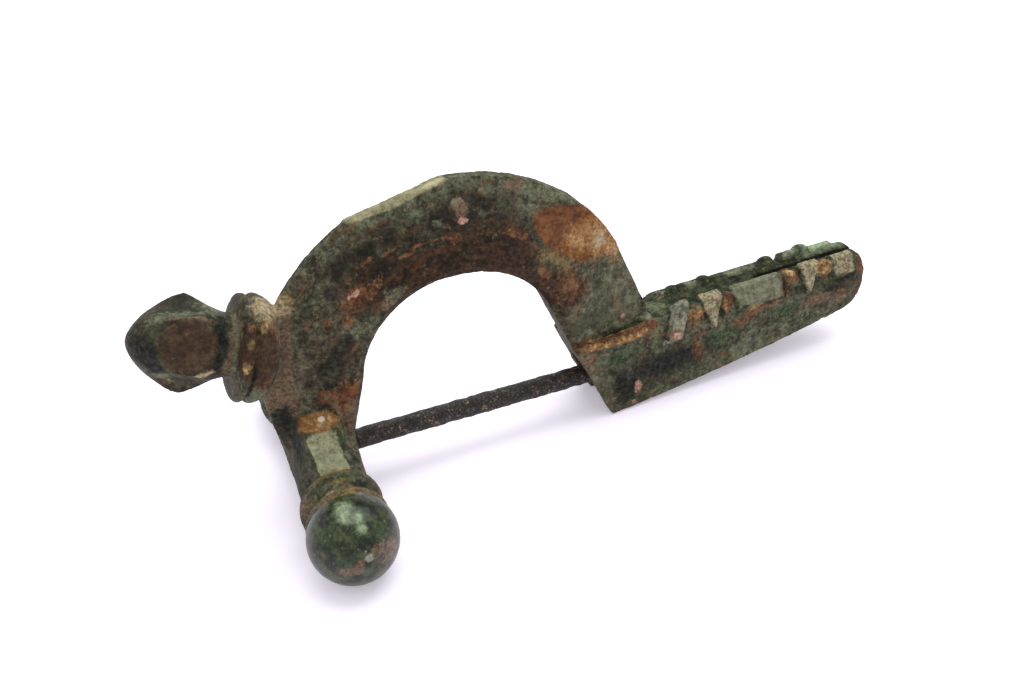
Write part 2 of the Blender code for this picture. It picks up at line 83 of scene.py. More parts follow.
# %% A number that flows through a tree
class Field:
    def __init__(self, socket):
        self.socket = socket
        self.tree = socket.node.id_data

    def math(self, operation, *others):
        node = self.tree.nodes.new("ShaderNodeMath")
        node.operation = operation
        for place, value in zip(node.inputs, (self, *others)):
            if isinstance(value, Field):
                self.tree.links.new(value.socket, place)
            else:
                place.default_value = value
        return Field(node.outputs[0])

    def __add__(self, other):
        return self.math("ADD", other)

    def __sub__(self, other):
        return self.math("SUBTRACT", other)

    def __mul__(self, other):
        return self.math("MULTIPLY", other)

    def __truediv__(self, other):
        return self.math("DIVIDE", other)

    def __pow__(self, other):
        return self.math("POWER", other)

    def __rsub__(self, other):
        return (self * -1.0) + other

    __radd__ = __add__
    __rmul__ = __mul__


# %% Functions that take numbers or Fields
def clamp01(value):
    if isinstance(value, Field):
        return value.math("MAXIMUM", 0.0).math("MINIMUM", 1.0)
    return min(1.0, max(0.0, value))


def root(value):
    if isinstance(value, Field):
        return value.math("MAXIMUM", 0.0).math("SQRT")
    return math.sqrt(max(0.0, value))


def lesser(one, other):
    return one.math("MINIMUM", other) if isinstance(one, Field) else min(one, other)


def mix(start, end, share):
    return start + (end - start) * share


# %% Helpers for trees
def new_tree(name, sizes):
    """A modifier tree with an input for each size. Returns it, its sizes and its geometry."""
    tree = bpy.data.node_groups.new(name, "GeometryNodeTree")
    tree.is_modifier = True
    tree.interface.new_socket("Geometry", in_out="INPUT", socket_type="NodeSocketGeometry")
    for label, value in sizes.items():
        kind = "NodeSocketInt" if isinstance(value, int) else "NodeSocketFloat"
        tree.interface.new_socket(label, in_out="INPUT", socket_type=kind).default_value = value
    tree.interface.new_socket("Geometry", in_out="OUTPUT", socket_type="NodeSocketGeometry")
    outputs = tree.nodes.new("NodeGroupInput").outputs
    return tree, {label: Field(outputs[label]) for label in sizes}, outputs["Geometry"]


def put(tree, value, target):
    """Links a socket or a Field to an input, or sets the input to a plain value."""
    value = value.socket if isinstance(value, Field) else value
    if isinstance(value, bpy.types.NodeSocket):
        tree.links.new(value, target)
    elif target.type == "RGBA":
        target.default_value = (*value, 1.0)
    else:
        target.default_value = value


def add_node(tree, kind, inputs=None, **settings):
    """A node with its settings, and its inputs linked or set."""
    node = tree.nodes.new(kind)
    for name, value in settings.items():
        setattr(node, name, value)
    for name, value in (inputs or {}).items():
        put(tree, value, node.inputs[name])
    return node


# %% Nodes that several trees use
def split(tree, vector):
    parts = add_node(tree, "ShaderNodeSeparateXYZ", {"Vector": vector})
    return [Field(output) for output in parts.outputs]


def join(tree, x, y, z):
    return add_node(tree, "ShaderNodeCombineXYZ", {"X": x, "Y": y, "Z": z}).outputs[0]


def position(tree):
    return add_node(tree, "GeometryNodeInputPosition").outputs[0]


def attribute(tree, name, kind="FLOAT"):
    """The values that the geometry carries under this name."""
    node = add_node(tree, "GeometryNodeInputNamedAttribute", {"Name": name}, data_type=kind)
    return Field(next(output for output in node.outputs if output.enabled))


def noise_field(tree, place, scale, detail, roughness, seed):
    inputs = {"Vector": place, "W": seed, "Scale": scale, "Detail": detail}
    inputs["Roughness"] = roughness
    node = add_node(tree, "ShaderNodeTexNoise", inputs, noise_dimensions="4D")
    return Field(node.outputs[0])


def along_normals(tree, height):
    normal = add_node(tree, "GeometryNodeInputNormal").outputs[0]
    inputs = {"Vector": normal, "Scale": height}
    return add_node(tree, "ShaderNodeVectorMath", inputs, operation="SCALE").outputs[0]


def finished_tree(tree, geometry, material, **move):
    """Moves the vertices to a Position or by an Offset, and ends the tree."""
    moved = add_node(tree, "GeometryNodeSetPosition", {"Geometry": geometry, **move})
    real = add_node(tree, "GeometryNodeRealizeInstances", {"Geometry": moved.outputs[0]})
    inputs = {"Geometry": real.outputs[0], "Material": material}
    covered = add_node(tree, "GeometryNodeSetMaterial", inputs)
    group_output = tree.nodes.new("NodeGroupOutput")
    tree.links.new(covered.outputs[0], group_output.inputs[0])
    return tree


# %% Helpers for objects
def add_object(name, data):
    made = bpy.data.objects.new(name, data)
    scene.collection.objects.link(made)
    return made


def plain_mesh(made):
    """The object's mesh with its modifiers applied. The object itself is then removed."""
    depsgraph = bpy.context.evaluated_depsgraph_get()
    mesh = bpy.data.meshes.new_from_object(made.evaluated_get(depsgraph))
    bpy.data.objects.remove(made)
    return mesh


def through_tree(name, tree, mesh=None):
    """Runs a mesh through a tree and returns the plain mesh that comes out."""
    worker = add_object(name, mesh or bpy.data.meshes.new(name))
    worker.modifiers.new(tree.name, "NODES").node_group = tree
    return plain_mesh(worker)


print("Formulas and trees are ready")

# %% [markdown]
# ## Blank materials
#
# Each tree ends in a Set Material node, so the materials have to exist first. They start empty
# and get their nodes further down, when the pieces that they cover have been made.

# %% Three finishes
bronze = bpy.data.materials.new("bronze_patina")
iron = bpy.data.materials.new("rusted_iron")
axis_iron = bpy.data.materials.new("axis_rust")
for finish in (bronze, iron, axis_iron):
    finish.use_nodes = True
print("Finishes:", [finish.name for finish in (bronze, iron, axis_iron)])

# %% [markdown]
# ## The bow
#
# The bow is half a ring that ends in two straight legs. Its section is a tall triangle: broad
# inside, where it carries the load of the cloak, and narrow at the crest. It could be drawn as
# a curve with a bevel, but then the section couldn't grow from the inner circle to the outer
# one. So a tree bends a closed cylinder: how far a vertex is along the cylinder gives its place
# along the bow, and its angle round the cylinder gives its place in the section.
#
# The crest is worn flat where it was handled, as a chord cuts a circle, and beyond the flat it
# is a little lower towards the head.

# %% The bow's sizes
BOW_X, BOW_Z = 15.5, 10.5
BOW_INNER_R, BOW_OUTER_R = 11.0, 20.2
CREST_HALF_WIDTH, WIDEST_HALF_WIDTH = 0.55, 3.0
FOOT_CREST_HALF_WIDTH, FOOT_WIDEST_HALF_WIDTH = 0.75, 2.1
HEAD_LEG_LEAN, FOOT_LEG_LEAN = math.radians(15.5), math.radians(21.8)
HEAD_SHOULDER = math.radians(15.0)
WEAR_MIDDLE, WEAR_HALF_ANGLE = math.radians(102.0), math.radians(14.0)
HEAD_LEG_BOTTOM_Z, FOOT_LEG_BOTTOM_Z = 3.1, 7.8
HEAD_LEG_SHARE, FOOT_LEG_SHARE = 0.14, 0.93
INNER_FLARE_SHARE, NARROWING_START, WIDEST_AT = 0.45, 0.6, 0.1
CREST_DROP, CREST_DROP_ANGLE = (0.2, 0.5), 0.8
ARM_X, ARM_SKEW, ARM_BOTTOM_HALF, HEEL_BULGE = 0.95, 0.03, 2.6, 3.2
print("The bow's crest would be", BOW_Z + BOW_OUTER_R, "mm high without wear")


# %% The bow's tree
def bow_tree():
    sizes = {
        "Inner Radius": BOW_INNER_R,
        "Outer Radius": BOW_OUTER_R,
        "Widest Half Width": WIDEST_HALF_WIDTH,
        "Crest Half Width": CREST_HALF_WIDTH,
        "Foot Half Width": FOOT_WIDEST_HALF_WIDTH,
        "Foot Crest Half Width": FOOT_CREST_HALF_WIDTH,
        "Steps Along": 180,
    }
    tree, size, _ = new_tree("bent bow", sizes)
    inputs = {"Vertices": 48, "Side Segments": size["Steps Along"], "Radius": 1.0, "Depth": 1.0}
    cylinder = add_node(tree, "GeometryNodeMeshCylinder", inputs)
    round_x, round_y, height = split(tree, position(tree))

    # The two circles, from the head round to the foot
    along = height + 0.5
    ring = clamp01((along - HEAD_LEG_SHARE) / (FOOT_LEG_SHARE - HEAD_LEG_SHARE))
    inner_angle = mix(math.pi - HEAD_LEG_LEAN, FOOT_LEG_LEAN, ring)
    outer_angle = mix(math.pi - HEAD_SHOULDER, FOOT_LEG_LEAN, ring)
    inner_r = size["Inner Radius"] - clamp01(1.0 - ring / INNER_FLARE_SHARE) ** 1.5
    past_wear = outer_angle - WEAR_MIDDLE - WEAR_HALF_ANGLE
    drop = mix(*CREST_DROP, clamp01(past_wear / CREST_DROP_ANGLE))
    lowered = past_wear.math("GREATER_THAN", 0.0) * drop
    open_cosine = (outer_angle - WEAR_MIDDLE).math("COSINE").math("MAXIMUM", 0.3)
    chord_r = size["Outer Radius"] * math.cos(WEAR_HALF_ANGLE) / open_cosine
    outer_r = lesser(size["Outer Radius"] - lowered, chord_r)

    inner_x = BOW_X + inner_r * inner_angle.math("COSINE")
    inner_z = BOW_Z + inner_r * inner_angle.math("SINE")
    outer_x = BOW_X + outer_r * outer_angle.math("COSINE")
    outer_z = BOW_Z + outer_r * outer_angle.math("SINE")

    # The two legs
    down_head = clamp01(1.0 - along / HEAD_LEG_SHARE)
    down_foot = clamp01((along - FOOT_LEG_SHARE) / (1.0 - FOOT_LEG_SHARE))
    head_drop = down_head * (inner_z - HEAD_LEG_BOTTOM_Z)
    foot_drop = down_foot * (inner_z - FOOT_LEG_BOTTOM_Z)
    inner_x = inner_x - head_drop * math.tan(HEAD_LEG_LEAN) + foot_drop * math.tan(FOOT_LEG_LEAN)
    inner_z = inner_z - head_drop - foot_drop
    outer_drop = down_foot * (outer_z - FOOT_LEG_BOTTOM_Z)
    heel_x, bulge = ARM_X - ARM_BOTTOM_HALF, down_head * (1.0 - down_head)
    outer_x = mix(outer_x, heel_x, down_head) - bulge * HEEL_BULGE
    outer_x = outer_x + outer_drop * math.tan(FOOT_LEG_LEAN)
    outer_z = mix(outer_z, HEAD_LEG_BOTTOM_Z, down_head) - outer_drop

    # The section: widest a tenth of the way out, narrowest at the crest
    across = (1.0 - round_x) / 2.0
    towards_foot = clamp01((ring - NARROWING_START) / (1.0 - NARROWING_START))
    widest = mix(size["Widest Half Width"], size["Foot Half Width"], towards_foot)
    crest = mix(size["Crest Half Width"], size["Foot Crest Half Width"], towards_foot)
    flank = mix(widest, crest, (across - WIDEST_AT) / (1.0 - WIDEST_AT))
    inside = mix(widest - 0.5, widest, across / WIDEST_AT)
    side = round_y.math("SIGN") * round_y.math("ABSOLUTE").math("GREATER_THAN", 0.001)
    y = lesser(inside, flank) * side
    bent = join(tree, mix(inner_x, outer_x, across), y, mix(inner_z, outer_z, across))
    return finished_tree(tree, cylinder.outputs["Mesh"], bronze, Position=bent)


bow = through_tree("bow", bow_tree())
print("Bow:", len(bow.vertices), "vertices")

# %% [markdown]
# ## Lofts and turned shapes
#
# The crossbar and the foot change their section along their length, so each is a loft: rings of
# points, joined with faces. The collars and knobs are round, so each is a turned shape: a
# profile that is spun round its axis.


# %% Helpers for solids
def closed_mesh(name, bm):
    bmesh.ops.remove_doubles(bm, verts=bm.verts, dist=0.001)
    bmesh.ops.recalc_face_normals(bm, faces=bm.faces)
    mesh = bpy.data.meshes.new(name)
    bm.to_mesh(mesh)
    bm.free()
    return mesh


def loft(name, rings, is_ring=False):
    """Rings of points joined with faces, with two caps unless the loft bites its own tail."""
    bm = bmesh.new()
    rows = [[bm.verts.new(point) for point in ring] for ring in rings]
    for row, following in zip(rows, rows[1:] + (rows[:1] if is_ring else [])):
        for i in range(len(row)):
            j = (i + 1) % len(row)
            bm.faces.new((row[i], row[j], following[j], following[i]))
    if not is_ring:
        bm.faces.new(rows[0][::-1])
        bm.faces.new(rows[-1])
    return closed_mesh(name, bm)


def ball_mesh(name, place, radius=1.0, segments=(40, 24)):
    bm, (u, v) = bmesh.new(), segments
    bmesh.ops.create_uvsphere(bm, u_segments=u, v_segments=v, radius=radius, matrix=place)
    return closed_mesh(name, bm)


def smooth_profile(points, steps=6):
    """A finer profile through the points, rounded like wax (Catmull-Rom)."""
    points = [points[0]] + list(points) + [points[-1]]
    finer = []
    for a, b, c, d in zip(points, points[1:], points[2:], points[3:]):
        for step in range(steps):
            t = step / steps
            weights = (
                (-t + 2 * t**2 - t**3) / 2,
                (2 - 5 * t**2 + 3 * t**3) / 2,
                (t + 4 * t**2 - 3 * t**3) / 2,
                (-(t**2) + t**3) / 2,
            )
            finer.append([sum(w * p[k] for w, p in zip(weights, (a, b, c, d))) for k in (0, 1)])
    return finer + [list(points[-1])]


def turned(name, profile, root_point, direction, sides=72):
    """Spins a profile of (distance along the axis, radius), which ends on the axis."""
    turn = Vector(direction).to_track_quat("Z", "Y").to_matrix()
    rings = []
    for along, radius in profile:
        angles = [math.tau * i / sides for i in range(sides)]
        flat = [Vector((radius * math.cos(a), radius * math.sin(a), along)) for a in angles]
        rings.append([Vector(root_point) + turn @ point for point in flat])
    return loft(name, rings)


# %% [markdown]
# ## Crossbar, collars and knobs
#
# Each arm of the crossbar has seven sides. It ends in a collar of two rings and a ball. The rings
# were turned or filed in the wax, so each collar repeats the same profile. The head knob is an
# onion with six shallow round hollows in its belly, on a tilted axis.

# %% Sizes of the knobs
KNOB_R, KNOB_Y, KNOB_Z = 4.3, 13.83, 4.2
NEAR_KNOB_X, ARM_END = 0.1, 9.6
HEAD_X, HEAD_Z, HEAD_TILT, HEAD_ROOT = -9.57, 20.52, math.radians(20.0), 11.0
HEAD_WAY = Vector((-math.cos(HEAD_TILT), 0.0, math.sin(HEAD_TILT)))

ARM_COLLAR_SHIFT, HEAD_COLLAR_DROP = -0.35, 0.3
# distance along the axis and radius
ARM_COLLAR = [(7.6, 0.001), (7.7, 2.6), (8.05, 3.45), (8.6, 3.85), (9.4, 3.97), (10.1, 3.85)]
ARM_COLLAR += [(10.6, 3.45), (10.85, 3.42), (11.15, 3.8), (11.55, 4.0), (11.95, 3.85)]
ARM_COLLAR += [(12.3, 3.3), (12.5, 0.001)]
HEAD_COLLAR = [(2.9, 0.001), (3.0, 3.0), (3.35, 4.2), (3.9, 4.75), (4.5, 5.05), (4.95, 5.15)]
HEAD_COLLAR += [(5.25, 5.0), (5.42, 4.5), (5.55, 4.48), (5.75, 4.95), (6.05, 5.1), (6.35, 4.9)]
HEAD_COLLAR += [(6.6, 4.1), (6.75, 2.9), (6.85, 0.001)]
ONION = [(3.5, 0.001), (3.6, 2.9), (6.7, 2.92), (8.2, 3.25), (9.5, 3.85), (10.6, 4.42)]
ONION += [(11.3, 4.62), (12.2, 4.2), (13.2, 3.52), (14.3, 2.72), (15.2, 1.8), (15.75, 0.95)]
ONION += [(15.97, 0.4), (16.0, 0.001)]
print("Points in the profiles:", [len(points) for points in (ARM_COLLAR, HEAD_COLLAR, ONION)])


# %% Crossbar and knobs
def arm_section(y):
    """Seven sides. The top facet rises towards the bow, and the left waist swells outwards."""
    outwards = clamp01((abs(y) - 3.0) / 6.0)
    rise = clamp01((6.6 - abs(y)) / 5.0)
    top_z, top_half, top_x = mix(7.1, 10.1, rise), mix(1.3, 1.95, rise), mix(-0.24, -0.29, rise)
    left = [(-ARM_BOTTOM_HALF, 1.2), (-3.55 - 0.3 * outwards, 3.3), (top_x - top_half, top_z)]
    right = [(top_x + top_half, top_z), (mix(2.6, 3.2, rise), mix(6.2, 8.0, rise))]
    right += [(3.3 - 0.2 * outwards, 3.4), (ARM_BOTTOM_HALF, 1.2)]
    return [(ARM_X + ARM_SKEW * y + x, y, z) for x, z in left + right]


def ball_profile():
    angles = [math.radians(-60 + 5 * i) for i in range(29)]
    ball = [(KNOB_Y + KNOB_R * math.sin(a), KNOB_R * math.cos(a)) for a in angles]
    return [(ball[0][0], 0.001)] + ball + [(KNOB_Y + 4.42, 0.35), (KNOB_Y + 4.5, 0.001)]


blanks = [loft("crossbar", [arm_section(y) for y in np.linspace(-ARM_END, ARM_END, 25)])]
for side in (-1.0, 1.0):
    arm_way = Vector((side * ARM_SKEW, side, 0.0)).normalized()
    collar_root = (ARM_X + ARM_COLLAR_SHIFT, 0.0, KNOB_Z)
    collar = turned("collar", smooth_profile(ARM_COLLAR), collar_root, arm_way)
    knob_x = NEAR_KNOB_X if side < 0 else ARM_X + ARM_SKEW * KNOB_Y
    knob = turned("knob", ball_profile(), (knob_x, 0.0, KNOB_Z), (0.0, side, 0.0))
    blanks += [collar, knob]
head_root = Vector((HEAD_X, 0.0, HEAD_Z)) - HEAD_WAY * HEAD_ROOT
blanks.append(turned("head_knob", smooth_profile(ONION), head_root, HEAD_WAY, 96))
head_collar_root = head_root - Vector((0.0, 0.0, HEAD_COLLAR_DROP))
blanks.append(turned("head_collar", smooth_profile(HEAD_COLLAR), head_collar_root, HEAD_WAY, 96))
print("Blanks so far:", [blank.name for blank in blanks])


# %% Hollows round the head knob
HOLLOW_ANGLES = (25.5, 89.3, 147.3, 205.6, 264.0, 321.7)
HOLLOW_ALONG, HOLLOW_REACH, HOLLOW_LEAN = 11.2, 8.15, math.radians(7.0)
HOLLOW_SIZE, FIRST_HOLLOW_SIZE = (8.57, 4.0, 4.95), (9.0, 5.6, 5.1)


def head_hollow(angle):
    """An egg that is much longer than the hollow leaves a round, shallow dish."""
    sideways = Matrix.Rotation(math.radians(angle), 3, HEAD_WAY) @ Vector((0.0, -1.0, 0.0))
    lean = Matrix.Rotation(HOLLOW_LEAN, 3, sideways.cross(HEAD_WAY))
    outwards, along = lean @ sideways, lean @ HEAD_WAY
    axes = Matrix((along, outwards.cross(along), outwards)).transposed().to_4x4()
    middle = head_root + HEAD_WAY * HOLLOW_ALONG + outwards * HOLLOW_REACH
    size = FIRST_HOLLOW_SIZE if angle == HOLLOW_ANGLES[0] else HOLLOW_SIZE
    place = Matrix.Translation(middle) @ axes @ Matrix.Diagonal((*size, 1.0))
    return ball_mesh("head_hollow", place, segments=(64, 48))


head_cutters = [head_hollow(angle) for angle in HOLLOW_ANGLES]
print("Hollows:", len(head_cutters))

# %% [markdown]
# ## The foot
#
# The foot is a sheath with leaning walls. Beside the bow its top is broad and flat, with a
# raised border, and further on it has sloping shoulders. The functions below give its top,
# bottom and widths at any distance x. The loft uses them with numbers.

# %% The foot's sizes
FOOT_FRONT_X, FOOT_TIP_X, FOOT_FRONT_LEAN = 31.75, 63.85, 0.43
HEEL_R, TOE_R = 2.7, 1.1
FOOT_FRONT_TOP_Z, FOOT_TOP_Z, FOOT_TOP_RISE = 8.9, 9.5, 0.018
FOOT_BOTTOM_RISE, FOOT_BOTTOM_CURVE = 0.07, 0.0022
SHOULDER_START_X, SHOULDER_LENGTH, SHOULDER_DROPS = 34.0, 7.0, (0.5, 2.0)
TIP_SHARE, TIP_LENGTH, TIP_NARROWING = 0.93, 0.07, 0.15
# half the width beside the bow and at the tip
BOTTOM_HALVES, WALL_HALVES, TOP_HALVES = (3.8, 2.8), (3.1, 2.6), (2.9, 1.65)
print("The foot is", round(FOOT_TIP_X - FOOT_FRONT_X, 1), "mm long")


# %% The foot's surface
def shoulder_share(x):
    return clamp01((x - SHOULDER_START_X) / SHOULDER_LENGTH)


def rounded_end(x, radius):
    past = (x - FOOT_TIP_X + radius) / radius
    return radius * (1.0 - root(1.0 - clamp01(past) ** 2.0))


def far_top(x):
    """The level of the top beyond the broad part beside the bow."""
    return FOOT_TOP_Z + FOOT_TOP_RISE * (x - FOOT_FRONT_X)


def foot_top(x):
    return mix(FOOT_FRONT_TOP_Z, far_top(x), shoulder_share(x)) - rounded_end(x, TOE_R)


def foot_bottom(x):
    along = x - FOOT_FRONT_X
    rise = FOOT_BOTTOM_RISE * along + FOOT_BOTTOM_CURVE * along * along
    return rise - 0.1 + rounded_end(x, HEEL_R)


def foot_halves(x):
    """Half the width at the bottom, at the top of the walls and at the top."""
    share = (x - FOOT_FRONT_X) / (FOOT_TIP_X - FOOT_FRONT_X)
    narrowed = 1.0 - TIP_NARROWING * clamp01((share - TIP_SHARE) / TIP_LENGTH) ** 2.0
    top = mix(*TOP_HALVES, shoulder_share(x))
    bottom, wall = mix(*BOTTOM_HALVES, share), mix(*WALL_HALVES, share)
    return bottom * narrowed, wall * narrowed, top * narrowed


def foot_shoulder(x):
    drop = mix(*SHOULDER_DROPS, shoulder_share(x))
    return lesser(drop, 0.4 * (foot_top(x) - foot_bottom(x)))


# %% The foot's blank
def foot_section(share):
    x = mix(FOOT_FRONT_X, FOOT_TIP_X, share)
    lean = FOOT_FRONT_LEAN * (1.0 - share) ** 3
    half, wall, top_half = foot_halves(x)
    top, bottom = foot_top(x), foot_bottom(x)
    height, slope = top - bottom, foot_shoulder(x)
    near = [(half - 0.4, bottom), (half - 0.06, bottom + 0.02 * height)]
    near += [(half, bottom + 0.06 * height), (mix(half, wall, 0.5), mix(bottom, top, 0.45))]
    near += [(wall, top - slope), (mix(wall, top_half, 0.6), top - 0.35 * slope)]
    near += [(top_half, top), (0.3 * top_half, top + 0.05)]
    ring = [(-y, z) for y, z in near] + near[::-1]
    return [(x - lean * max(0.0, z), y, z) for y, z in ring]


STRAIGHT_SHARE, ROUND_SHARE = 0.92, 0.08
shares = [STRAIGHT_SHARE * i / 70 for i in range(70)]
shares += [STRAIGHT_SHARE + ROUND_SHARE * (1 - (1 - i / 16) ** 2) for i in range(17)]
blanks.append(loft("foot", [foot_section(share) for share in shares]))
print("Foot:", len(blanks[-1].vertices), "vertices")

# %% [markdown]
# ## The ornaments of the foot
#
# A lug, pointed teeth and plates lie along both shoulders of the foot. They are all the same
# block in other sizes, bent over the top edge, and that is what a tree does well: it puts a
# block on each point of a row, makes the blocks real, and moves their vertices over the
# shoulder. The points carry the sizes as attributes. The tree uses the foot's own functions,
# now with Fields.

# %% The ornaments' tree
ORNAMENT_SIZES = ("middle", "top_length", "bottom_length", "hang", "slant", "side", "proud")


def ornament_tree():
    tree, size, geometry = new_tree("blocks over a shoulder", {"Depth": 0.6, "Root": 0.75})
    points = add_node(tree, "GeometryNodeMeshToPoints", {"Mesh": geometry})
    block = {"Size": (1.0, 1.0, 1.0), "Vertices X": 14, "Vertices Y": 4, "Vertices Z": 14}
    cube = add_node(tree, "GeometryNodeMeshCube", block)
    settings = {"data_type": "FLOAT_VECTOR", "domain": "POINT"}
    inputs = {"Geometry": cube.outputs["Mesh"], "Name": "block"}
    named = add_node(tree, "GeometryNodeStoreNamedAttribute", inputs, **settings)
    values = [socket for socket in named.inputs if socket.name == "Value"]
    put(tree, position(tree), next(socket for socket in values if socket.type == "VECTOR"))
    rows = {"Points": points.outputs[0], "Instance": named.outputs[0]}
    placed = add_node(tree, "GeometryNodeInstanceOnPoints", rows)
    real = add_node(tree, "GeometryNodeRealizeInstances", {"Geometry": placed.outputs[0]})

    across, thickness, height = split(tree, attribute(tree, "block", "FLOAT_VECTOR"))
    value = {name: attribute(tree, name) for name in ORNAMENT_SIZES}
    hang = value["hang"]
    along = (0.5 - height) * (1.0 + hang)
    over = clamp01((along - 1.0) / hang) * clamp01(hang * 100.0)
    length = mix(value["top_length"], value["bottom_length"], over)
    x = value["middle"] + across * length + value["slant"] * over
    lift = mix(size["Depth"] * -1.0, value["proud"], thickness + 0.5)
    _, wall, top_half = foot_halves(x)
    flat, steep = clamp01(along), (along - 1.0).math("MAXIMUM", 0.0)
    corner_y = top_half + lift * 0.5
    y = mix(top_half - size["Root"], corner_y, flat) + (wall + lift * 0.8 - corner_y) * steep
    z = foot_top(x) + lift + (foot_shoulder(x) + lift * 0.6) * steep * -1.0
    bent = join(tree, x, y * value["side"], z)
    return finished_tree(tree, real.outputs[0], bronze, Position=bent)


# %% A row of ornaments on each shoulder
# middle, length at the top and at the bottom, hang, slant, how proud it stands
ORNAMENTS = [
    (40.9, 1.7, 1.8, 1.4, -1.9, 0.55),
    (44.4, 2.5, 0.25, 1.25, -0.3, 0.6),
    (50.1, 6.0, 5.6, 0.85, 0.1, 0.45),
    (56.8, 2.4, 0.3, 1.05, -0.6, 0.65),
    (61.1, 2.8, 2.6, 0.8, 0.0, 0.45),
]
FAR_ROW_SHIFT = -0.8


def row_of_points():
    mesh = bpy.data.meshes.new("ornament_points")
    rows = [(*sizes[:5], -1.0, sizes[5]) for sizes in ORNAMENTS]
    rows += [(sizes[0] + FAR_ROW_SHIFT, *sizes[1:5], 1.0, sizes[5]) for sizes in ORNAMENTS]
    mesh.from_pydata([(row[0], 0.0, 0.0) for row in rows], [], [])
    for column, name in enumerate(ORNAMENT_SIZES):
        made = mesh.attributes.new(name, "FLOAT", "POINT")
        made.data.foreach_set("value", [row[column] for row in rows])
    return mesh


ornaments = through_tree("ornaments", ornament_tree(), row_of_points())
print("Ornaments:", len(ornaments.polygons), "faces")


# %% The raised border beside the bow
BORDER_START_X, BORDER_END_X, BORDER_STEPS = 28.3, 37.9, 24


def border(side):
    """A ridge with a sharp outer edge, highest in the middle of its length."""
    rings = []
    for step in range(BORDER_STEPS + 1):
        share = step / BORDER_STEPS
        x = mix(BORDER_START_X, BORDER_END_X, share)
        swell = 0.25 + 0.75 * math.sin(math.pi * min(1.0, 0.12 + 0.8 * share)) ** 0.6
        edge, top = foot_halves(x)[2], foot_top(x)
        points = [(edge - 1.0, top - 0.6), (edge - 0.55, top + 0.05 + 0.35 * swell)]
        points += [(edge - 0.1 + 0.2 * swell, top + 0.15 + 0.3 * swell)]
        points += [(edge + 0.1 + 0.2 * swell, top - 0.1), (edge, top - 0.7)]
        rings.append([(x, side * y, z) for y, z in points])
    return loft("border", rings)


blanks += [border(-1.0), border(1.0)]
print("Blanks:", len(blanks))

# %% [markdown]
# ## Cutting and joining
#
# The knob's hollows, the sheath, the groove and the pin's slot are cut with Booleans from each
# blank while it is still simple. Then the blanks are joined and a voxel remesh makes one skin of
# them, as the founder's wax was one piece. The remesh also rounds every edge a little, as
# casting, wear and corrosion do, and it leaves small, even faces that can carry the relief.


# %% Cutters for the foot and the slot
SHEATH_HALF, SHEATH_CORNER_HALF, SHEATH_ROOF, SHEATH_END_X = 1.75, 0.9, 2.4, 57.5
HINGE_X, HINGE_Z = 0.95, 4.1
SLOT_HALF, SLOT_R, SLOT_END_X = 1.35, 2.45, 7.0
PIN_R, PIN_ROOM = 1.05, 0.4
# x, half the width and depth
GROOVE = [(44.0, 0.4, 0.05), (49.5, 0.6, 0.5), (52.0, 0.7, 1.1), (66.0, 0.7, 1.1)]


def box_mesh(name, low, high):
    corners = [(low[0], low[1]), (high[0], low[1]), (high[0], high[1]), (low[0], high[1])]
    return loft(name, [[(x, y, z) for x, y in corners] for z in (low[2], high[2])])


def groove_mesh():
    rings = []
    for x, half, depth in GROOVE:
        top = foot_top(min(x, FOOT_TIP_X - TOE_R))
        rings.append([(x, -half, top + 1), (x, 0.0, top - depth), (x, half, top + 1)])
    return loft("groove", rings)


def sheath_mesh():
    rings = []
    for x in np.linspace(28.0, SHEATH_END_X, 30):
        roof = foot_top(x) - SHEATH_ROOF
        near = [(-SHEATH_HALF, -3.0), (-SHEATH_HALF, roof - 1.0), (-SHEATH_CORNER_HALF, roof)]
        rings.append([(x, y, z) for y, z in near + [(-y, z) for y, z in near[::-1]]])
    return loft("sheath", rings)


def hinge_cutters():
    """Room for the pin's eye, for the pin's swing and for the pin at rest."""
    profile = [(-SLOT_HALF, 0.001), (-SLOT_HALF, SLOT_R), (SLOT_HALF, SLOT_R), (SLOT_HALF, 0.001)]
    round_slot = turned("round_slot", profile, (HINGE_X, 0.0, HINGE_Z), (0.0, 1.0, 0.0))
    low, high = (HINGE_X - SLOT_R, -SLOT_HALF, -1.0), (SLOT_END_X, SLOT_HALF, HINGE_Z)
    swing_slot = box_mesh("swing_slot", low, high)
    low, high = (HINGE_X, -SLOT_HALF, 0.5), (SLOT_END_X, SLOT_HALF, HINGE_Z + PIN_R + PIN_ROOM)
    return [round_slot, swing_slot, box_mesh("pin_slot", low, high)]


foot_cutters = [sheath_mesh(), groove_mesh()]
bow_cutters = hinge_cutters()
print("Cutters:", len(foot_cutters) + len(bow_cutters))

# %% Pellets between the ornaments
# place along the near row, radius, how far it stands above the shoulder's edge
PELLETS = [(42.45, 1.1, 0.6), (46.2, 1.05, 0.72), (54.1, 1.05, 0.78), (58.6, 1.1, 0.95)]
PELLET_Y, PELLET_HALF_HEIGHT, NEAR_PELLET_DROP = 1.75, 0.85, 0.35
for pellet_x, radius, above in PELLETS:
    for side, x in ((-1.0, pellet_x), (1.0, pellet_x + FAR_ROW_SHIFT)):
        drop = NEAR_PELLET_DROP if side < 0.0 else 0.0
        z = foot_top(x) + above - PELLET_HALF_HEIGHT - drop
        stretch = Matrix.Diagonal((1.0, 0.75, PELLET_HALF_HEIGHT / radius, 1.0))
        place = Matrix.Translation((x, side * PELLET_Y, z)) @ stretch
        blanks.append(ball_mesh("pellet", place, radius))
print("Blanks with pellets:", len(blanks))


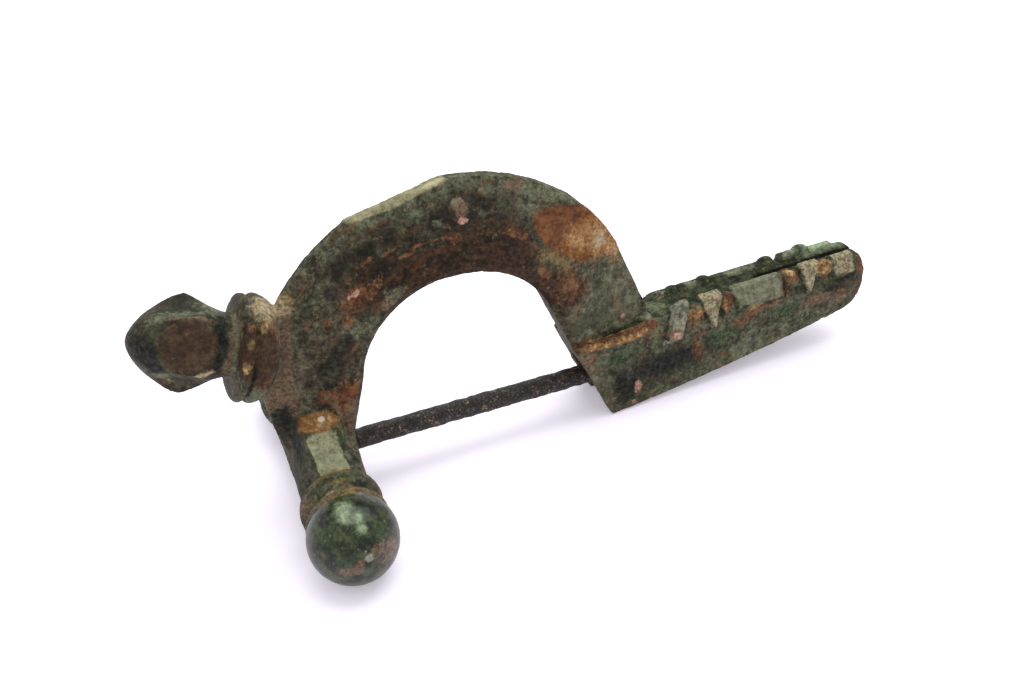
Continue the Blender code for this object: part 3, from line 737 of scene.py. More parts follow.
# %% Cut, join and remesh
def cut_away(mesh, cutter_meshes):
    blank = add_object(mesh.name, mesh)
    tools = [add_object(cutter.name, cutter) for cutter in cutter_meshes]
    for tool in tools:
        boolean = blank.modifiers.new("cut", "BOOLEAN")
        boolean.operation, boolean.object, boolean.solver = "DIFFERENCE", tool, "EXACT"
    cut = plain_mesh(blank)
    for tool in tools:
        bpy.data.objects.remove(tool)
    return cut


def one_mesh(name, meshes):
    bm = bmesh.new()
    for mesh in meshes:
        bm.from_mesh(mesh)
    mesh = bpy.data.meshes.new(name)
    bm.to_mesh(mesh)
    bm.free()
    return mesh


def remeshed(mesh, voxel, smoothings):
    made = add_object(mesh.name, mesh)
    remesh = made.modifiers.new("one skin", "REMESH")
    remesh.mode, remesh.voxel_size = "VOXEL", voxel
    smooth = made.modifiers.new("smooth", "SMOOTH")
    smooth.factor, smooth.iterations = 0.5, smoothings
    return plain_mesh(made)


VOXEL, PIN_VOXEL = ((0.17, 0.13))
by_name = {blank.name: blank for blank in blanks}
cutters = {"head_knob": head_cutters, "foot": foot_cutters, "crossbar": bow_cutters}
for name, tools in cutters.items():
    by_name[name] = cut_away(by_name[name], tools)
skin_parts = [*by_name.values(), cut_away(bow, bow_cutters), ornaments]
casting_mesh = remeshed(one_mesh("casting", skin_parts), VOXEL, 2)
print("One skin:", len(casting_mesh.polygons), "faces")

# %% [markdown]
# ## Marks of age, and painted light and shade
#
# Rust blooms, green verdigris, chalky crust and worn places lie where they lie for no rule. A
# restorer would log them one by one, and the tables below do the same. Some marks are painted
# light and shade instead: paler patches, highlights and glints where light falls, and darker
# patches and lines where shade falls. Places on the bow's flank are given as a clock angle round
# the bow's centre, with 0 towards the foot, and a share of the way from the inner circle to the
# crest. Each mark becomes a number at each vertex: 1 in its middle, 0.5 at its edge and 0
# outside. The finish reads these numbers and breaks the edges up with noise, and the relief reads
# them too, so that a crust is both coloured and rough.
#
# Three kinds are zones and not single marks: "red", "green" and "dark" say how thickly freckles
# of that colour are strewn. Their lowest level is above 0, so a few freckles lie everywhere.


# %% Numbers at each vertex
BASE_LEVELS = {"red": 0.32, "green": 0.42, "dark": 0.28}
BOW_DEPTH, MIDDLE_ARC_R = BOW_OUTER_R - BOW_INNER_R, 15.5
marks = {}


def vertex_numbers(numbers, field):
    values = np.empty(len(numbers) * 3, dtype=np.float32)
    numbers.foreach_get(field, values)
    return values.reshape(-1, 3).astype(float)


places = vertex_numbers(casting_mesh.vertices, "co")
normals = vertex_numbers(casting_mesh.vertex_normals, "vector")
px, py, pz = places.T
from_bow_x, from_bow_z = px - BOW_X, pz - BOW_Z
bow_r = np.hypot(from_bow_x, from_bow_z)
bow_angle = np.degrees(np.arctan2(from_bow_z, from_bow_x))
bow_angle = np.where(bow_angle < -90.0, bow_angle + 360.0, bow_angle)
bow_share = (bow_r - BOW_INNER_R) / BOW_DEPTH
on_arc = np.radians(bow_angle) * MIDDLE_ARC_R
# The bow's own vertices: on its ring, but above the crossbar and clear of the foot
on_bow = (np.abs(py) < 3.4) & (bow_share > -0.25) & (bow_share < 1.08) & (bow_angle > -20)
on_bow &= ~((px > 27.5) & (pz < 9.6)) & ~(pz < 7.3)
print("Vertices:", len(places), "on the bow:", int(on_bow.sum()))


# %% Helpers for marks
def add_mark(kind, distance, where=True, strength=1.0):
    """Keeps a mark whose edge is at a distance of 1."""
    field = np.where(where, np.clip(1.0 - 0.5 * distance, 0.0, 1.0) * strength, 0.0)
    marks[kind] = np.maximum(marks.get(kind, BASE_LEVELS.get(kind, 0.0)), field)


def flank_mark(kind, angle, share, half_length, half_height, side=-1):
    """An oval mark on the bow's flank, along the arc."""
    along = (bow_angle - angle) * math.radians(1.0) * (BOW_INNER_R + share * BOW_DEPTH)
    up = (bow_share - share) * BOW_DEPTH
    distance = np.hypot(along / half_length, up / half_height)
    add_mark(kind, distance, on_bow & (py * side > 0.0))


def spot_mark(kind, x, y, z, radius, *stretch):
    """A round mark anywhere on the casting, stretched along X, Y and Z."""
    offset = (places - (x, y, z)) / (np.array(stretch) * radius)
    add_mark(kind, np.linalg.norm(offset, axis=1))


def add_marks(mark, table):
    for kind, spots in table.items():
        for spot in spots:
            mark(kind, *spot)
    return sum(len(spots) for spots in table.values())


# %% Helpers for patches
def patch_distance(spot, corners, blur):
    """The distance to a patch's border, counted from 1 and growing outwards."""
    corner = np.array(corners, dtype=float)
    nearest = np.full(len(spot), 1e9)
    inside = np.zeros(len(spot), dtype=bool)
    for start, end in zip(corner, np.roll(corner, -1, axis=0)):
        edge, to_spot = end - start, spot - start
        share = np.clip(to_spot @ edge / (edge @ edge), 0.0, 1.0)
        nearest = np.minimum(nearest, np.linalg.norm(to_spot - share[:, None] * edge, axis=1))
        crosses = (start[1] > spot[:, 1]) != (end[1] > spot[:, 1])
        rise = end[1] - start[1] or 1e-9
        inside ^= crosses & (spot[:, 0] < start[0] + (spot[:, 1] - start[1]) * edge[0] / rise)
    return 1.0 + np.where(inside, -nearest, nearest) / blur


def flank_patch(kind, corners, side=-1, blur=1.0, strength=1.0):
    """A patch of any outline on the flank, with corners as angle and share."""
    spot = np.stack([on_arc, bow_share * BOW_DEPTH], axis=1)
    corners = [(math.radians(a) * MIDDLE_ARC_R, share * BOW_DEPTH) for a, share in corners]
    distance = patch_distance(spot, corners, blur)
    add_mark(kind, distance, on_bow & (py * side > 0.0), strength)


# %% Marks on the bow's near flank
# angle, share, half the length and half the height
FLANK_MARKS = {
    "rust": [
        (129.4, 0.4, 1.1, 0.7), (126, 0.34, 1.6, 0.6), (118, 0.58, 0.9, 0.15),
        (109.5, 0.53, 1, 0.14), (99.5, 0.45, 1.5, 0.13), (88, 0.43, 0.8, 0.35),
        (104, 0.42, 1.1, 0.18), (145.9, 0.1, 0.4, 0.22), (142.6, 0.46, 0.5, 0.25),
        (137.9, 0.3, 1, 0.5), (26.2, 0.31, 1.6, 1.3), (41, 0.2, 1, 0.5), (171.5, 0.08, 1.3, 0.9),
        (62, 0.45, 1.2, 0.3),
    ],
    "pink": [
        (128, 0.42, 0.45, 0.22), (130.5, 0.44, 0.2, 0.2), (-0.1, 0.83, 0.28, 0.24),
        (83.4, 0.58, 0.45, 0.3),
    ],
    "tan": [(66.3, 0.93, 1.2, 0.7), (122, 0.12, 0.9, 0.5), (84.1, 0.7, 0.8, 0.9)],
    "dark": [
        (116.2, 0.43, 1.2, 0.9), (115.8, 0.68, 1.1, 0.7), (107.9, 0.67, 0.9, 0.6),
        (108.4, 0.25, 0.3, 0.7), (80.3, 0.75, 0.8, 0.8), (75.2, 0.73, 0.8, 0.6),
        (90, 0.63, 1.2, 0.6), (34.3, 0.25, 0.6, 0.4), (167.8, 0.15, 1.1, 1.1), (155, 0.22, 2, 1),
        (148.4, 0.21, 1.2, 0.8), (150.4, 0.62, 0.6, 0.5), (162.5, 0.3, 1, 1.2),
        (126, 0.72, 1.5, 0.7), (133, 0.6, 0.8, 0.6), (4, 0.35, 1, 2.6), (84.1, 0.67, 1.5, 1.5),
    ],
    "green": [
        (98.4, 0.75, 1.5, 0.7), (112, 0.86, 2.2, 0.5), (124, 0.88, 1.4, 0.5), (132, 0.12, 1.2, 1),
        (141, 0.2, 1.1, 0.9), (76.9, 0.9, 2.5, 0.5),
    ],
    "verdigris": [
        (98.4, 0.75, 0.7, 0.35), (92, 0.6, 0.5, 0.3), (117, 0.15, 0.8, 0.4), (62, 0.9, 0.9, 0.5),
        (56, 0.93, 1.5, 0.5), (49.5, 0.98, 1.1, 0.35), (60.5, 0.73, 0.8, 0.45),
        (42, 0.37, 0.9, 0.4), (149, 0.9, 0.6, 0.4), (76, 0.86, 0.4, 0.25),
    ],
    "ochre": [
        (41, 0.38, 1.4, 0.45), (46, 0.33, 0.8, 0.5), (35, 0.42, 0.8, 0.4), (77, 0.86, 0.3, 0.2),
        (145.3, 0.97, 0.5, 0.5),
    ],
    "crust": [(84.6, 0.76, 0.6, 0.5)],
    "lump": [(84.1, 0.66, 0.95, 1.1)],
    # on the flank, the bright orange is a painted highlight on the orange patch
    "glow": [(31.3, 0.87, 1.7, 1.2), (26, 0.93, 1.4, 0.9), (38, 0.7, 1.2, 0.7)],
    # this cream spot is a painted highlight
    "cream": [(31.3, 0.87, 0.7, 0.8)],
}
print("Marks on the near flank:", add_marks(flank_mark, FLANK_MARKS))

# %% Patches on the bow's near flank, with corners as angle and share
ORANGE_OUTLINE = [(58.1, 0.69), (56, 0.77), (50.3, 0.86), (43.1, 1.02), (36, 1.1), (23, 1.1)]
ORANGE_OUTLINE += [(23.7, 0.95), (26.8, 0.74), (31.2, 0.55), (39.3, 0.46), (49, 0.45)]
ORANGE_OUTLINE += [(55, 0.52)]
flank_patch("ember", ORANGE_OUTLINE, blur=0.6)
flank_patch("orange", [(min(a, 42.0), s) for a, s in ORANGE_OUTLINE], blur=1.6)
RED_OUTLINE = [(137, 0.45), (130, 0.6), (117.5, 0.62), (109, 0.58), (99, 0.5), (88, 0.56)]
RED_OUTLINE += [(84, 0.64), (70, 0.64), (58, 0.62), (50, 0.4), (42, 0.25), (50, -0.3), (110, -0.3)]
RED_OUTLINE += [(122, 0.1)]
flank_patch("red", RED_OUTLINE + [(136, 0.2)], blur=2.2, strength=0.68)
RED_BY_FOOT = [(44, 0.15), (36, 0.32), (30, 0.46), (24, 0.52), (18, 0.5), (13, 0.3), (16, 0.05)]
flank_patch("red", RED_BY_FOOT + [(34, -0.3), (44, -0.3)], blur=1.1, strength=0.85)
UPPER_GREEN = [(128, 1.1), (128, 0.84), (100, 0.76), (82, 0.8), (66, 0.72), (57, 0.8), (42, 1.1)]
flank_patch("green", UPPER_GREEN, strength=0.7)
LEG_GREEN = [(27, 1.1), (26, 0.75), (19, 0.55), (12, 0.35), (5, 0.2), (-4, 0.2), (-4, 1.2)]
flank_patch("green", LEG_GREEN, blur=0.8)
TAN_BAND = [(139, 1.1), (141, 0.87), (148, 0.8), (153, 0.71), (160, 0.64), (168, 0.6), (178, 0.58)]
flank_patch("tan", TAN_BAND + [(182, 1.2)], blur=0.4)
flank_patch("tan", [(182, 0.0), (170, 0.0), (172, 0.2), (180, 0.25), (186, 0.1)], blur=0.7)
# Painted shade: a darker patch over the middle of the near flank
DIM_MIDDLE = [(134, 0.3), (128, 0.66), (115, 0.78), (100, 0.7), (84, 0.66), (68, 0.7), (57, 0.52)]
flank_patch("dim", DIM_MIDDLE + [(46, 0.25), (20, 0.3), (16, -0.4), (122, -0.4)], blur=2.2)
# Painted light: paler patches on both legs of the bow
flank_patch("haze", [(17, 1.1), (17, 0.5), (10, 0.1), (-6, 0.1), (-6, 1.1)], blur=1.6)
flank_patch("haze", [(143, 1.1), (146, 0.7), (160, 0.5), (175, 0.5), (180, 1.1)], blur=1.2)

# Bare metal in the worn flat: a lens that is deepest in the middle of the chord
WEAR_START, WEAR_LENGTH, WEAR_DEPTH = 86.5, 30.0, 0.45
wear_chord = BOW_OUTER_R * math.cos(WEAR_HALF_ANGLE)
over_chord = bow_r * np.cos(np.radians(bow_angle) - WEAR_MIDDLE) - wear_chord
wear_share = (bow_angle - WEAR_START) / WEAR_LENGTH
worn_down = WEAR_DEPTH * np.sin(np.pi * np.clip(wear_share, 0.0, 1.0)) ** 0.8
in_wear = (wear_share > 0.0) & (wear_share < 1.0) & on_bow
add_mark("bare", 1.0 - (over_chord + worn_down) / 0.3, in_wear)
# A painted highlight at the foot's end of the worn flat
flank_mark("painted_highlight", 92.5, 1.0, 1.6, 0.4)
print("Kinds of mark:", sorted(marks))

# %% Marks on the crossbar, its collar and the near knob
# x, y, z, radius and stretch along X, Y and Z
ARM_MARKS = {
    "orange": [(0.55, -2.6, 9.6, 1.05, 1.8, 1.5, 0.8)],
    "glow": [(1.1, -2.7, 9.5, 0.75, 1.8, 1.5, 0.8)],
    "white": [(1.05, -2.5, 9.65, 0.3, 1.1, 1, 1.1), (0.3, -17.8, 5.9, 0.2, 1.2, 1, 0.8)],
    "rust": [
        (3.9, -2.85, 12.1, 1.1, 1.3, 1, 0.85), (3.3, -2.8, 11.2, 0.9, 0.7, 1, 1.3),
        (1.05, -17.7, 5.8, 0.3, 1.3, 1, 0.8), (-0.4, -18, 5, 0.35, 0.9, 1, 1.2),
    ],
    "ember": [(4.3, -2.85, 12.3, 0.8, 1.5, 1, 0.6)],
    "dark": [(1.9, -2.35, 10.7, 0.9, 1.6, 1, 0.45), (3, -2.6, 13.1, 0.8, 1.6, 1, 0.7)],
    "tan": [
        (-1.5, -1.3, 10.6, 0.9, 1, 1, 0.8), (3.75, -2.9, 9.7, 0.9, 1, 1, 1.4),
        (0.6, -11.2, 7.7, 1, 4.2, 0.7, 0.8), (0.6, -7.9, 7.6, 0.6, 3.4, 0.7, 1),
        (3.4, -11.6, 6.5, 1, 0.9, 0.7, 1.3), (-2.6, -9.6, 5.5, 1, 0.9, 1, 1.4),
        (2.4, -17.3, 4.8, 1.1, 1.3, 1, 1), (-1.4, -17.6, 4.3, 0.9, 1.5, 1, 0.7),
    ],
    "cream": [(-0.6, -0.3, 21.9, 0.8, 1.2, 1.5, 1), (-1.2, -10.75, 7.5, 0.4, 2.2, 0.6, 0.9)],
    "ochre": [
        (0.3, -0.5, 22.4, 0.7, 1.2, 1.5, 1), (0.3, -8.5, 7.9, 0.7, 4, 0.8, 1),
        (0.5, -10, 8.1, 0.5, 3, 0.5, 0.9), (0.5, -12, 7.8, 0.6, 4, 0.8, 1),
    ],
    "ink": [
        (-2.4, -1.6, 9.6, 1.6, 0.7, 1, 1.3), (-1.9, -2.8, 7.6, 1.6, 0.5, 1, 1.2),
        (2.5, -10.4, 7.3, 0.55, 1.8, 0.7, 1), (0.7, -17.3, 6.65, 0.45, 2.4, 1, 0.45),
        (-2.4, -14.4, 7.7, 0.6, 0.8, 1.2, 1), (1.9, -14.8, 7.9, 0.6, 1, 1.3, 0.9),
    ],
    # painted shade on the crossbar's left flank, below the bow
    "dim": [(-3, -6.2, 5.2, 1.7, 0.9, 2.2, 1.4)],
    "bright_green": [
        (2.15, -4.7, 8.1, 0.55, 0.7, 2, 1), (1.9, -3.4, 9, 0.4, 1, 1.3, 1),
        (1.2, -9.7, 8.1, 0.6, 2.2, 0.8, 0.8), (2.4, -16.6, 6.5, 0.75, 1, 1, 1),
        (-2.2, -15.9, 7.15, 0.85, 1, 1, 1.1), (0.1, -16.7, 7.4, 0.7, 1.3, 1, 0.8),
        (-1.6, -17.4, 5.3, 0.7, 1.2, 1, 0.9),
    ],
    # the pale green on the near knob is a painted highlight
    "pale_green": [
        (-0.35, -14.6, 8.4, 0.95, 0.85, 1.25, 1), (0.5, -15.6, 8, 0.6, 0.8, 1.2, 1),
        (0.6, -16.4, 7.5, 0.5, 0.8, 1.2, 1),
    ],
    "slate": [(0.6, -18, 5.3, 0.45, 1.2, 1, 0.9)],
}
print("Marks on the crossbar and the near knob:", add_marks(spot_mark, ARM_MARKS))

# A curl of rust on the leg above the crossbar: a ring round a paler middle
CURL_MIDDLE, CURL_STRETCH = (1.95, -2.3, 11.95), (1.0, 1.6, 1.0)
curl = np.linalg.norm((places - CURL_MIDDLE) / CURL_STRETCH, axis=1)
add_mark("rust", 1.0 + (np.abs(curl - 0.55) - 0.2) / 0.25)
add_mark("ember", 1.0 + (np.abs(curl - 0.6) - 0.15) / 0.2, strength=0.8)
add_mark("tan", curl / 0.45)


# %% Marks on the head knob and its collar
def about_head(points):
    """Distance along the knob's axis, radius, and degrees upwards from its near side."""
    offset = points - np.array(head_root)
    along = offset @ np.array(HEAD_WAY)
    up = offset @ np.array((math.sin(HEAD_TILT), 0.0, math.cos(HEAD_TILT)))
    return along, np.hypot(up, offset[:, 1]), np.degrees(np.arctan2(up, -offset[:, 1]))


head_along, head_r, head_turn = about_head(places)
on_head = (px < -0.3) & (head_along > 2.9) & (head_r < 6.0)


def head_mark(kind, along, turn, half_length, half_width):
    round_way = np.radians((head_turn - turn + 180.0) % 360.0 - 180.0) * head_r
    distance = np.hypot((head_along - along) / half_length, round_way / half_width)
    add_mark(kind, distance, on_head)


# along, turn, half the length and half the width
HEAD_MARKS = {
    "rust_disc": [(11.1, 25, 2.6, 2.45), (5.1, 16, 1.7, 2.8)],
    # the first three verdigris marks and the first tan mark are a painted highlight on the rims
    # above the round hollows
    "verdigris": [
        (11.3, 82, 2.1, 0.5), (8.9, 97, 1, 0.9), (13.9, 70, 0.8, 0.6), (6.8, 25, 0.2, 3.2),
        (4.7, -27, 1, 0.9), (4.6, -44, 0.7, 0.8),
    ],
    "tan": [
        (11, 64, 2.2, 0.3), (7.4, -10, 0.6, 1.3), (7.2, 35, 0.35, 1.2), (6.8, 60, 0.3, 1.6),
        (3.6, 80, 0.9, 2.2),
    ],
    "cream": [(9.9, -15, 1.1, 0.4), (4.6, 78, 1, 1.6)],
    "ochre": [(11.3, -14, 1.3, 0.3), (6.1, 8, 0.35, 0.4), (6, 30, 0.3, 0.5), (4.9, 47, 0.3, 0.5)],
    "ink": [
        (8.25, 40, 0.5, 2.2), (8.4, -5, 0.45, 1.3), (14.7, 4, 1, 1.3), (13.6, -18, 1, 0.7),
        (5.45, -20, 0.2, 2.4),
    ],
    "dark": [(11.9, 116, 1.6, 0.9), (8.6, 70, 0.7, 1.6), (4.2, 24, 0.6, 0.9)],
    "rust": [(4.9, 44, 1.1, 0.9), (4.6, -8, 0.9, 1.1), (5.9, 42, 0.4, 0.9)],
    "dent": [(4.5, 16, 0.6, 1.6)],
    "gold": [(6.2, 3, 0.25, 0.35), (4.7, 55, 0.3, 0.4)],
}
print("Marks on the head knob:", add_marks(head_mark, HEAD_MARKS))

# %% Marks on the foot
on_foot = (px > 27.8) & (pz < 11.5) & ~on_bow
# x, y, z, radius and stretch along X, Y and Z
FOOT_MARKS = {
    "slate": [(36.9, -1.2, 9.5, 0.65, 1, 1, 0.8), (33.9, -3.4, 4.3, 0.6, 0.7, 1, 1.4)],
    "lump": [(36.8, -1.2, 9.5, 0.6, 1, 1, 0.8)],
    "verdigris": [
        (38.4, 0, 9.6, 1.1, 1, 1, 1), (48.3, -3.2, 4, 0.28, 3.4, 1, 0.7),
        (46.8, -3.2, 3.4, 0.3, 2, 1, 0.7),
    ],
    "tan": [
        (39.1, -3.4, 7.9, 0.7, 1.3, 1, 0.8), (29.2, -3.1, 7.4, 0.8, 1, 1, 1.3),
        (31.7, -3.6, 2.4, 0.5, 0.9, 1, 1.4), (57.5, -2.9, 6.4, 0.9, 2.6, 1, 0.8),
        (60.5, -2.8, 5.6, 0.7, 1.5, 1, 0.8),
    ],
    "pink": [
        (39.4, -3.5, 7.7, 0.4, 1.1, 1, 1), (34.8, -3.5, 2.6, 0.52, 0.9, 1, 1.3),
        (34.2, -3.7, 0.95, 0.24, 1.2, 1, 0.8),
    ],
    # gold-brown rust; its lightest grains are painted glints
    "gold": [
        (42.3, -2.4, 8.9, 0.85, 1, 1, 0.8), (45.8, -2.5, 9, 0.4, 0.6, 1, 1.4),
        (54.3, -1.5, 10.1, 0.6, 1.2, 1, 0.8), (58.4, -2.1, 10, 0.9, 1.1, 1, 0.9),
        (49.3, -2.85, 7.9, 0.22, 5, 1, 0.9),
    ],
    "rust": [
        (42, -2.6, 8.5, 1, 1, 1, 0.9), (46, -2.3, 9.2, 1, 1, 1, 1.1),
        (54.3, -1.8, 9.8, 0.95, 1, 1.4, 0.8), (53.4, -2.6, 8.6, 0.5, 0.8, 1, 1.4),
        (58.7, -2.5, 9.4, 0.6, 1, 1, 1.2), (50.7, -2.85, 7.75, 0.3, 9, 1, 0.9),
        (47.7, -2.95, 6.6, 0.4, 3.4, 1, 0.9), (63.5, -1.6, 8.6, 0.9, 0.7, 1.5, 1.2),
        (63.2, -2.1, 9.3, 0.5, 0.6, 1.2, 1.2), (42.1, -3.2, 4.7, 0.9, 0.8, 1, 1.2),
        (60.8, -2.8, 6.6, 0.45, 1.5, 1, 0.6),
    ],
    "ink": [
        (45.4, -2.7, 8.3, 0.4, 0.8, 1, 1.6), (60.9, -2.7, 7.9, 0.25, 5, 1, 0.8),
        (48.2, -2.8, 8.3, 0.3, 2.2, 1, 0.8), (38.2, -3.2, 4.5, 1.3, 3, 1, 0.95),
        (33.5, -3.4, 3.3, 1.85, 0.85, 1, 1), (59.5, -2.7, 7.2, 0.5, 2.6, 1, 0.7),
    ],
    # painted shade: darker patches on the foot's wall
    "dim": [
        (37.8, -3.2, 4.2, 2.4, 2.4, 1, 0.8), (33.5, -3.4, 3.3, 2.3, 0.85, 1, 1),
        (60, -2.8, 7.2, 1.6, 2.6, 1, 0.9),
    ],
    "bright_green": [
        (45, -3.1, 5.6, 1, 2.2, 1, 0.8), (53.5, -3, 6.2, 0.8, 2.2, 1, 0.9),
        (33, -3.2, 6.7, 1, 2.4, 1, 0.7), (41, -1.6, 9.3, 0.8, 1.5, 1, 1),
    ],
    # painted light: paler patches low on the foot's wall and along its bottom edge
    "haze": [(29.5, -3.2, 3.8, 2.6, 0.8, 1, 1.3), (49, -3.2, 2.4, 1.2, 5, 1, 0.9)],
    "pale_green": [(60.5, 1.5, 10.4, 0.9, 3, 1, 1)],
}
print("Marks on the foot:", add_marks(spot_mark, FOOT_MARKS))

# %% Crusts on the ornaments, painted shadow round them, and the lines along the foot
shoulder_top = far_top(px)
# kind, and its strength in the near and in the far row
ORNAMENT_CRUSTS = [("slate", 1.0, 0.5), ("cream_crust", 1.0, 0.55), ("crust", 1.0, 0.6)]
ORNAMENT_CRUSTS += [("cream_crust", 0.9, 0.6), ("cream_crust", 0.75, 0.95)]
for sizes, (kind, near_strength, far_strength) in zip(ORNAMENTS, ORNAMENT_CRUSTS):
    for side, strength, shift in ((-1, near_strength, 0.0), (1, far_strength, FAR_ROW_SHIFT)):
        middle, top_length, bottom_length, hang, slant, proud = sizes
        down = np.clip((shoulder_top + proud - pz) / (2.0 + 0.6 * proud), 0.0, None)
        over = np.clip(down / hang, 0.0, 1.0)
        half = (top_length + (bottom_length - top_length) * over) / 2.0 + 0.05
        sideways = np.abs(px - middle - shift - slant * over) / half
        distance = np.maximum(sideways, down / (hang + 0.12))
        ledge = on_foot & (py * side > 0.8) & (pz > 6.3)
        kind = "crust" if side > 0 and kind == "cream_crust" else kind
        add_mark(kind, distance**2, ledge, strength)
        # A line of painted shadow round each ornament's edge
        rim = 1.0 + (np.abs(distance * half - half - 0.22) - 0.16) / 0.2
        add_mark("ink", rim, ledge & (down < hang + 0.3), 0.72)

in_band = on_foot & (px < 37.6) & (pz > 8.3) & (py < -1.9)
add_mark("gold", np.abs(pz - 8.9) / 0.34, in_band & (px > 29.4) & (px < 36.3))
add_mark("tan", np.abs(pz - 9.5) / 0.35, in_band)
add_mark("rust", np.abs(pz - 9.1) / 0.6, in_band)
# Painted shade in the groove along the foot's top
add_mark("ink", np.abs(py) / 0.5, on_foot & (px > 51.0) & (pz > 8.0) & (pz < shoulder_top - 0.1))
print("Crusts on ornaments:", 2 * len(ORNAMENTS))

# %% Marks on the sides that no light reached
dice = np.random.default_rng(4)
STREWN = {"rust": 16, "verdigris": 16, "dark": 18, "green": 10, "tan": 6, "ochre": 8, "pink": 4}
for kind, count in STREWN.items():
    scale = 0.35 if kind == "pink" else 1.0
    for _ in range(count):
        size = dice.uniform(0.4, 1.3) * scale
        spread = (size * dice.uniform(1.0, 1.8), size)
        flank_mark(kind, dice.uniform(0, 180), dice.uniform(0.05, 0.95), *spread, side=1)
    for _ in range(count):
        x, z, size = dice.uniform(29, 63), dice.uniform(1, 9), dice.uniform(0.3, 1.1) * scale
        spot_mark(kind, x, 3.0, z, size, dice.uniform(1.0, 2.2), 1.0, 1.0)
flank_patch("red", [(a, s + 0.05) for a, s in RED_OUTLINE], side=1, blur=1.5, strength=0.75)
flank_patch("green", [(a, s - 0.1) for a, s in UPPER_GREEN], side=1, blur=1.5, strength=0.7)
flank_patch("orange", [(140, 0.75), (128, 0.9), (118, 0.7), (126, 0.5)], side=1, blur=0.6)
for _ in range(26):
    kind = ("tan", "bright_green", "ink", "rust")[dice.integers(4)]
    x, y, z = dice.uniform(-3, 4), dice.uniform(3, 18), dice.uniform(0, 9)
    spot_mark(kind, x, y, z, dice.uniform(0.4, 1.0), 1.0, 1.3, 1.0)
for _ in range(14):
    kind = ("verdigris", "ink", "rust_disc", "tan")[dice.integers(4)]
    head_mark(kind, dice.uniform(4, 15), dice.uniform(130, 320), *dice.uniform(0.4, 1.4, 2))
print("Strewn marks:", 2 * sum(STREWN.values()) + 40)


# %% Grounds: what the bronze is like between the marks
def smooth_step(low, high, value):
    share = np.clip((value - low) / (high - low), 0.0, 1.0)
    return share * share * (3.0 - 2.0 * share)


PALE_STRENGTH = 0.88
on_arms = (np.abs(py) > 3.0) & (px < 8.0) & (pz < 12.0)
on_knobs = smooth_step(11.9, 12.4, np.abs(py)) * (px < 8.0)
on_head_knob = smooth_step(6.8, 7.3, head_along) * (px < -0.5)
foot_top_share = on_foot * smooth_step(0.5, 0.8, normals[:, 2]) * (np.abs(py) < 1.9)
foot_side = on_foot * (1.0 - foot_top_share)
marks["deep_green"] = np.maximum(on_knobs, 0.7 * foot_top_share + 0.45 * on_head_knob)
for level in (0.42 * on_head_knob + 0.6 * foot_side, 0.6 * on_arms):
    marks["green"] = np.maximum(marks["green"], level)
facet = smooth_step(0.72, 0.86, normals[:, 2]) * smooth_step(8.9, 8.4, np.abs(py))
facet *= smooth_step(2.3, 1.9, px)
facet *= on_arms & (pz > 6.0)
marks["pale"] = PALE_STRENGTH * facet * smooth_step(2.7, 4.2, np.abs(py))
marks["gloss"] = np.maximum(on_knobs, 0.15 * on_head_knob)
# Painted shade darkens the whole head knob
marks["dim"] = np.maximum(marks["dim"], 0.58 * on_head_knob)
grain = np.stack([np.where(on_bow, on_arc, px), np.where(on_bow, bow_r, pz), py], axis=1)
print("Grounds:", {kind: int((marks[kind] > 0.5).sum()) for kind in ("green", "pale", "gloss")})


# %% Write the numbers to the mesh
def store(mesh, name, values):
    kind = "FLOAT" if values.ndim == 1 else "FLOAT_VECTOR"
    made = mesh.attributes.new(name, kind, "POINT")
    field = "value" if values.ndim == 1 else "vector"
    made.data.foreach_set(field, np.ascontiguousarray(values, dtype=np.float32).ravel())


for kind, field in marks.items():
    store(casting_mesh, kind, field)
store(casting_mesh, "grain", grain)
print("Attributes:", len(casting_mesh.attributes))

# %% [markdown]
# ## Relief of the corrosion
#
# Buried bronze is never smooth: it is covered in low warts, pits and grains. Bump in a material
# only fakes them, so here they are real. A tree moves each vertex along its normal: by noise of
# two sizes, by pits, and by the crusts, dents and lumps that the marks tell of. Afterwards a
# Decimate modifier removes the vertices that carry no detail.


# %% The relief's tree
MOST_TRIANGLES = 190_000


def relief_tree():
    sizes = {"Wart Depth": 0.09, "Grain Depth": 0.05, "Crust Depth": 0.2, "Pit Depth": 0.16}
    sizes.update({"Dent Depth": 0.4, "Lump Height": 0.3, "Seed": 3.0})
    tree, size, geometry = new_tree("corrosion relief", sizes)
    place = position(tree)

    def noise(scale, detail=3.0, roughness=0.55):
        return noise_field(tree, place, scale, detail, roughness, size["Seed"])

    kinds = ("rust", "orange", "gold", "gloss", "dent", "lump")
    mark = {kind: attribute(tree, kind) for kind in kinds}
    warts = (noise(0.75) - 0.5) * 2.0 * size["Wart Depth"]
    grains = (noise(3.2, 4.0, 0.65) - 0.5) * 2.0 * size["Grain Depth"]
    pits = clamp01((noise(1.3, 2.0) - 0.62) * 8.0) * size["Pit Depth"]
    crust = clamp01((mark["rust"] + mark["orange"] + mark["gold"] - 0.35) * 3.0)
    crusts = crust * noise(1.9, 5.0, 0.7) * size["Crust Depth"]
    calm = 1.0 - 0.8 * mark["gloss"]
    dents = clamp01(mark["dent"] * 1.4) ** 2.0 * size["Dent Depth"]
    lumps = clamp01(mark["lump"] * 1.6) ** 2.0 * size["Lump Height"]
    height = (warts + grains - pits) * calm + crusts + lumps - dents
    return finished_tree(tree, geometry, bronze, Offset=along_normals(tree, height))


def thinned(mesh, most):
    """Keeps no more triangles than that, where they carry the most shape."""
    triangles = sum(len(face.vertices) - 2 for face in mesh.polygons)
    made = add_object(mesh.name, mesh)
    made.modifiers.new("thin", "DECIMATE").ratio = min(1.0, most / triangles)
    return plain_mesh(made)


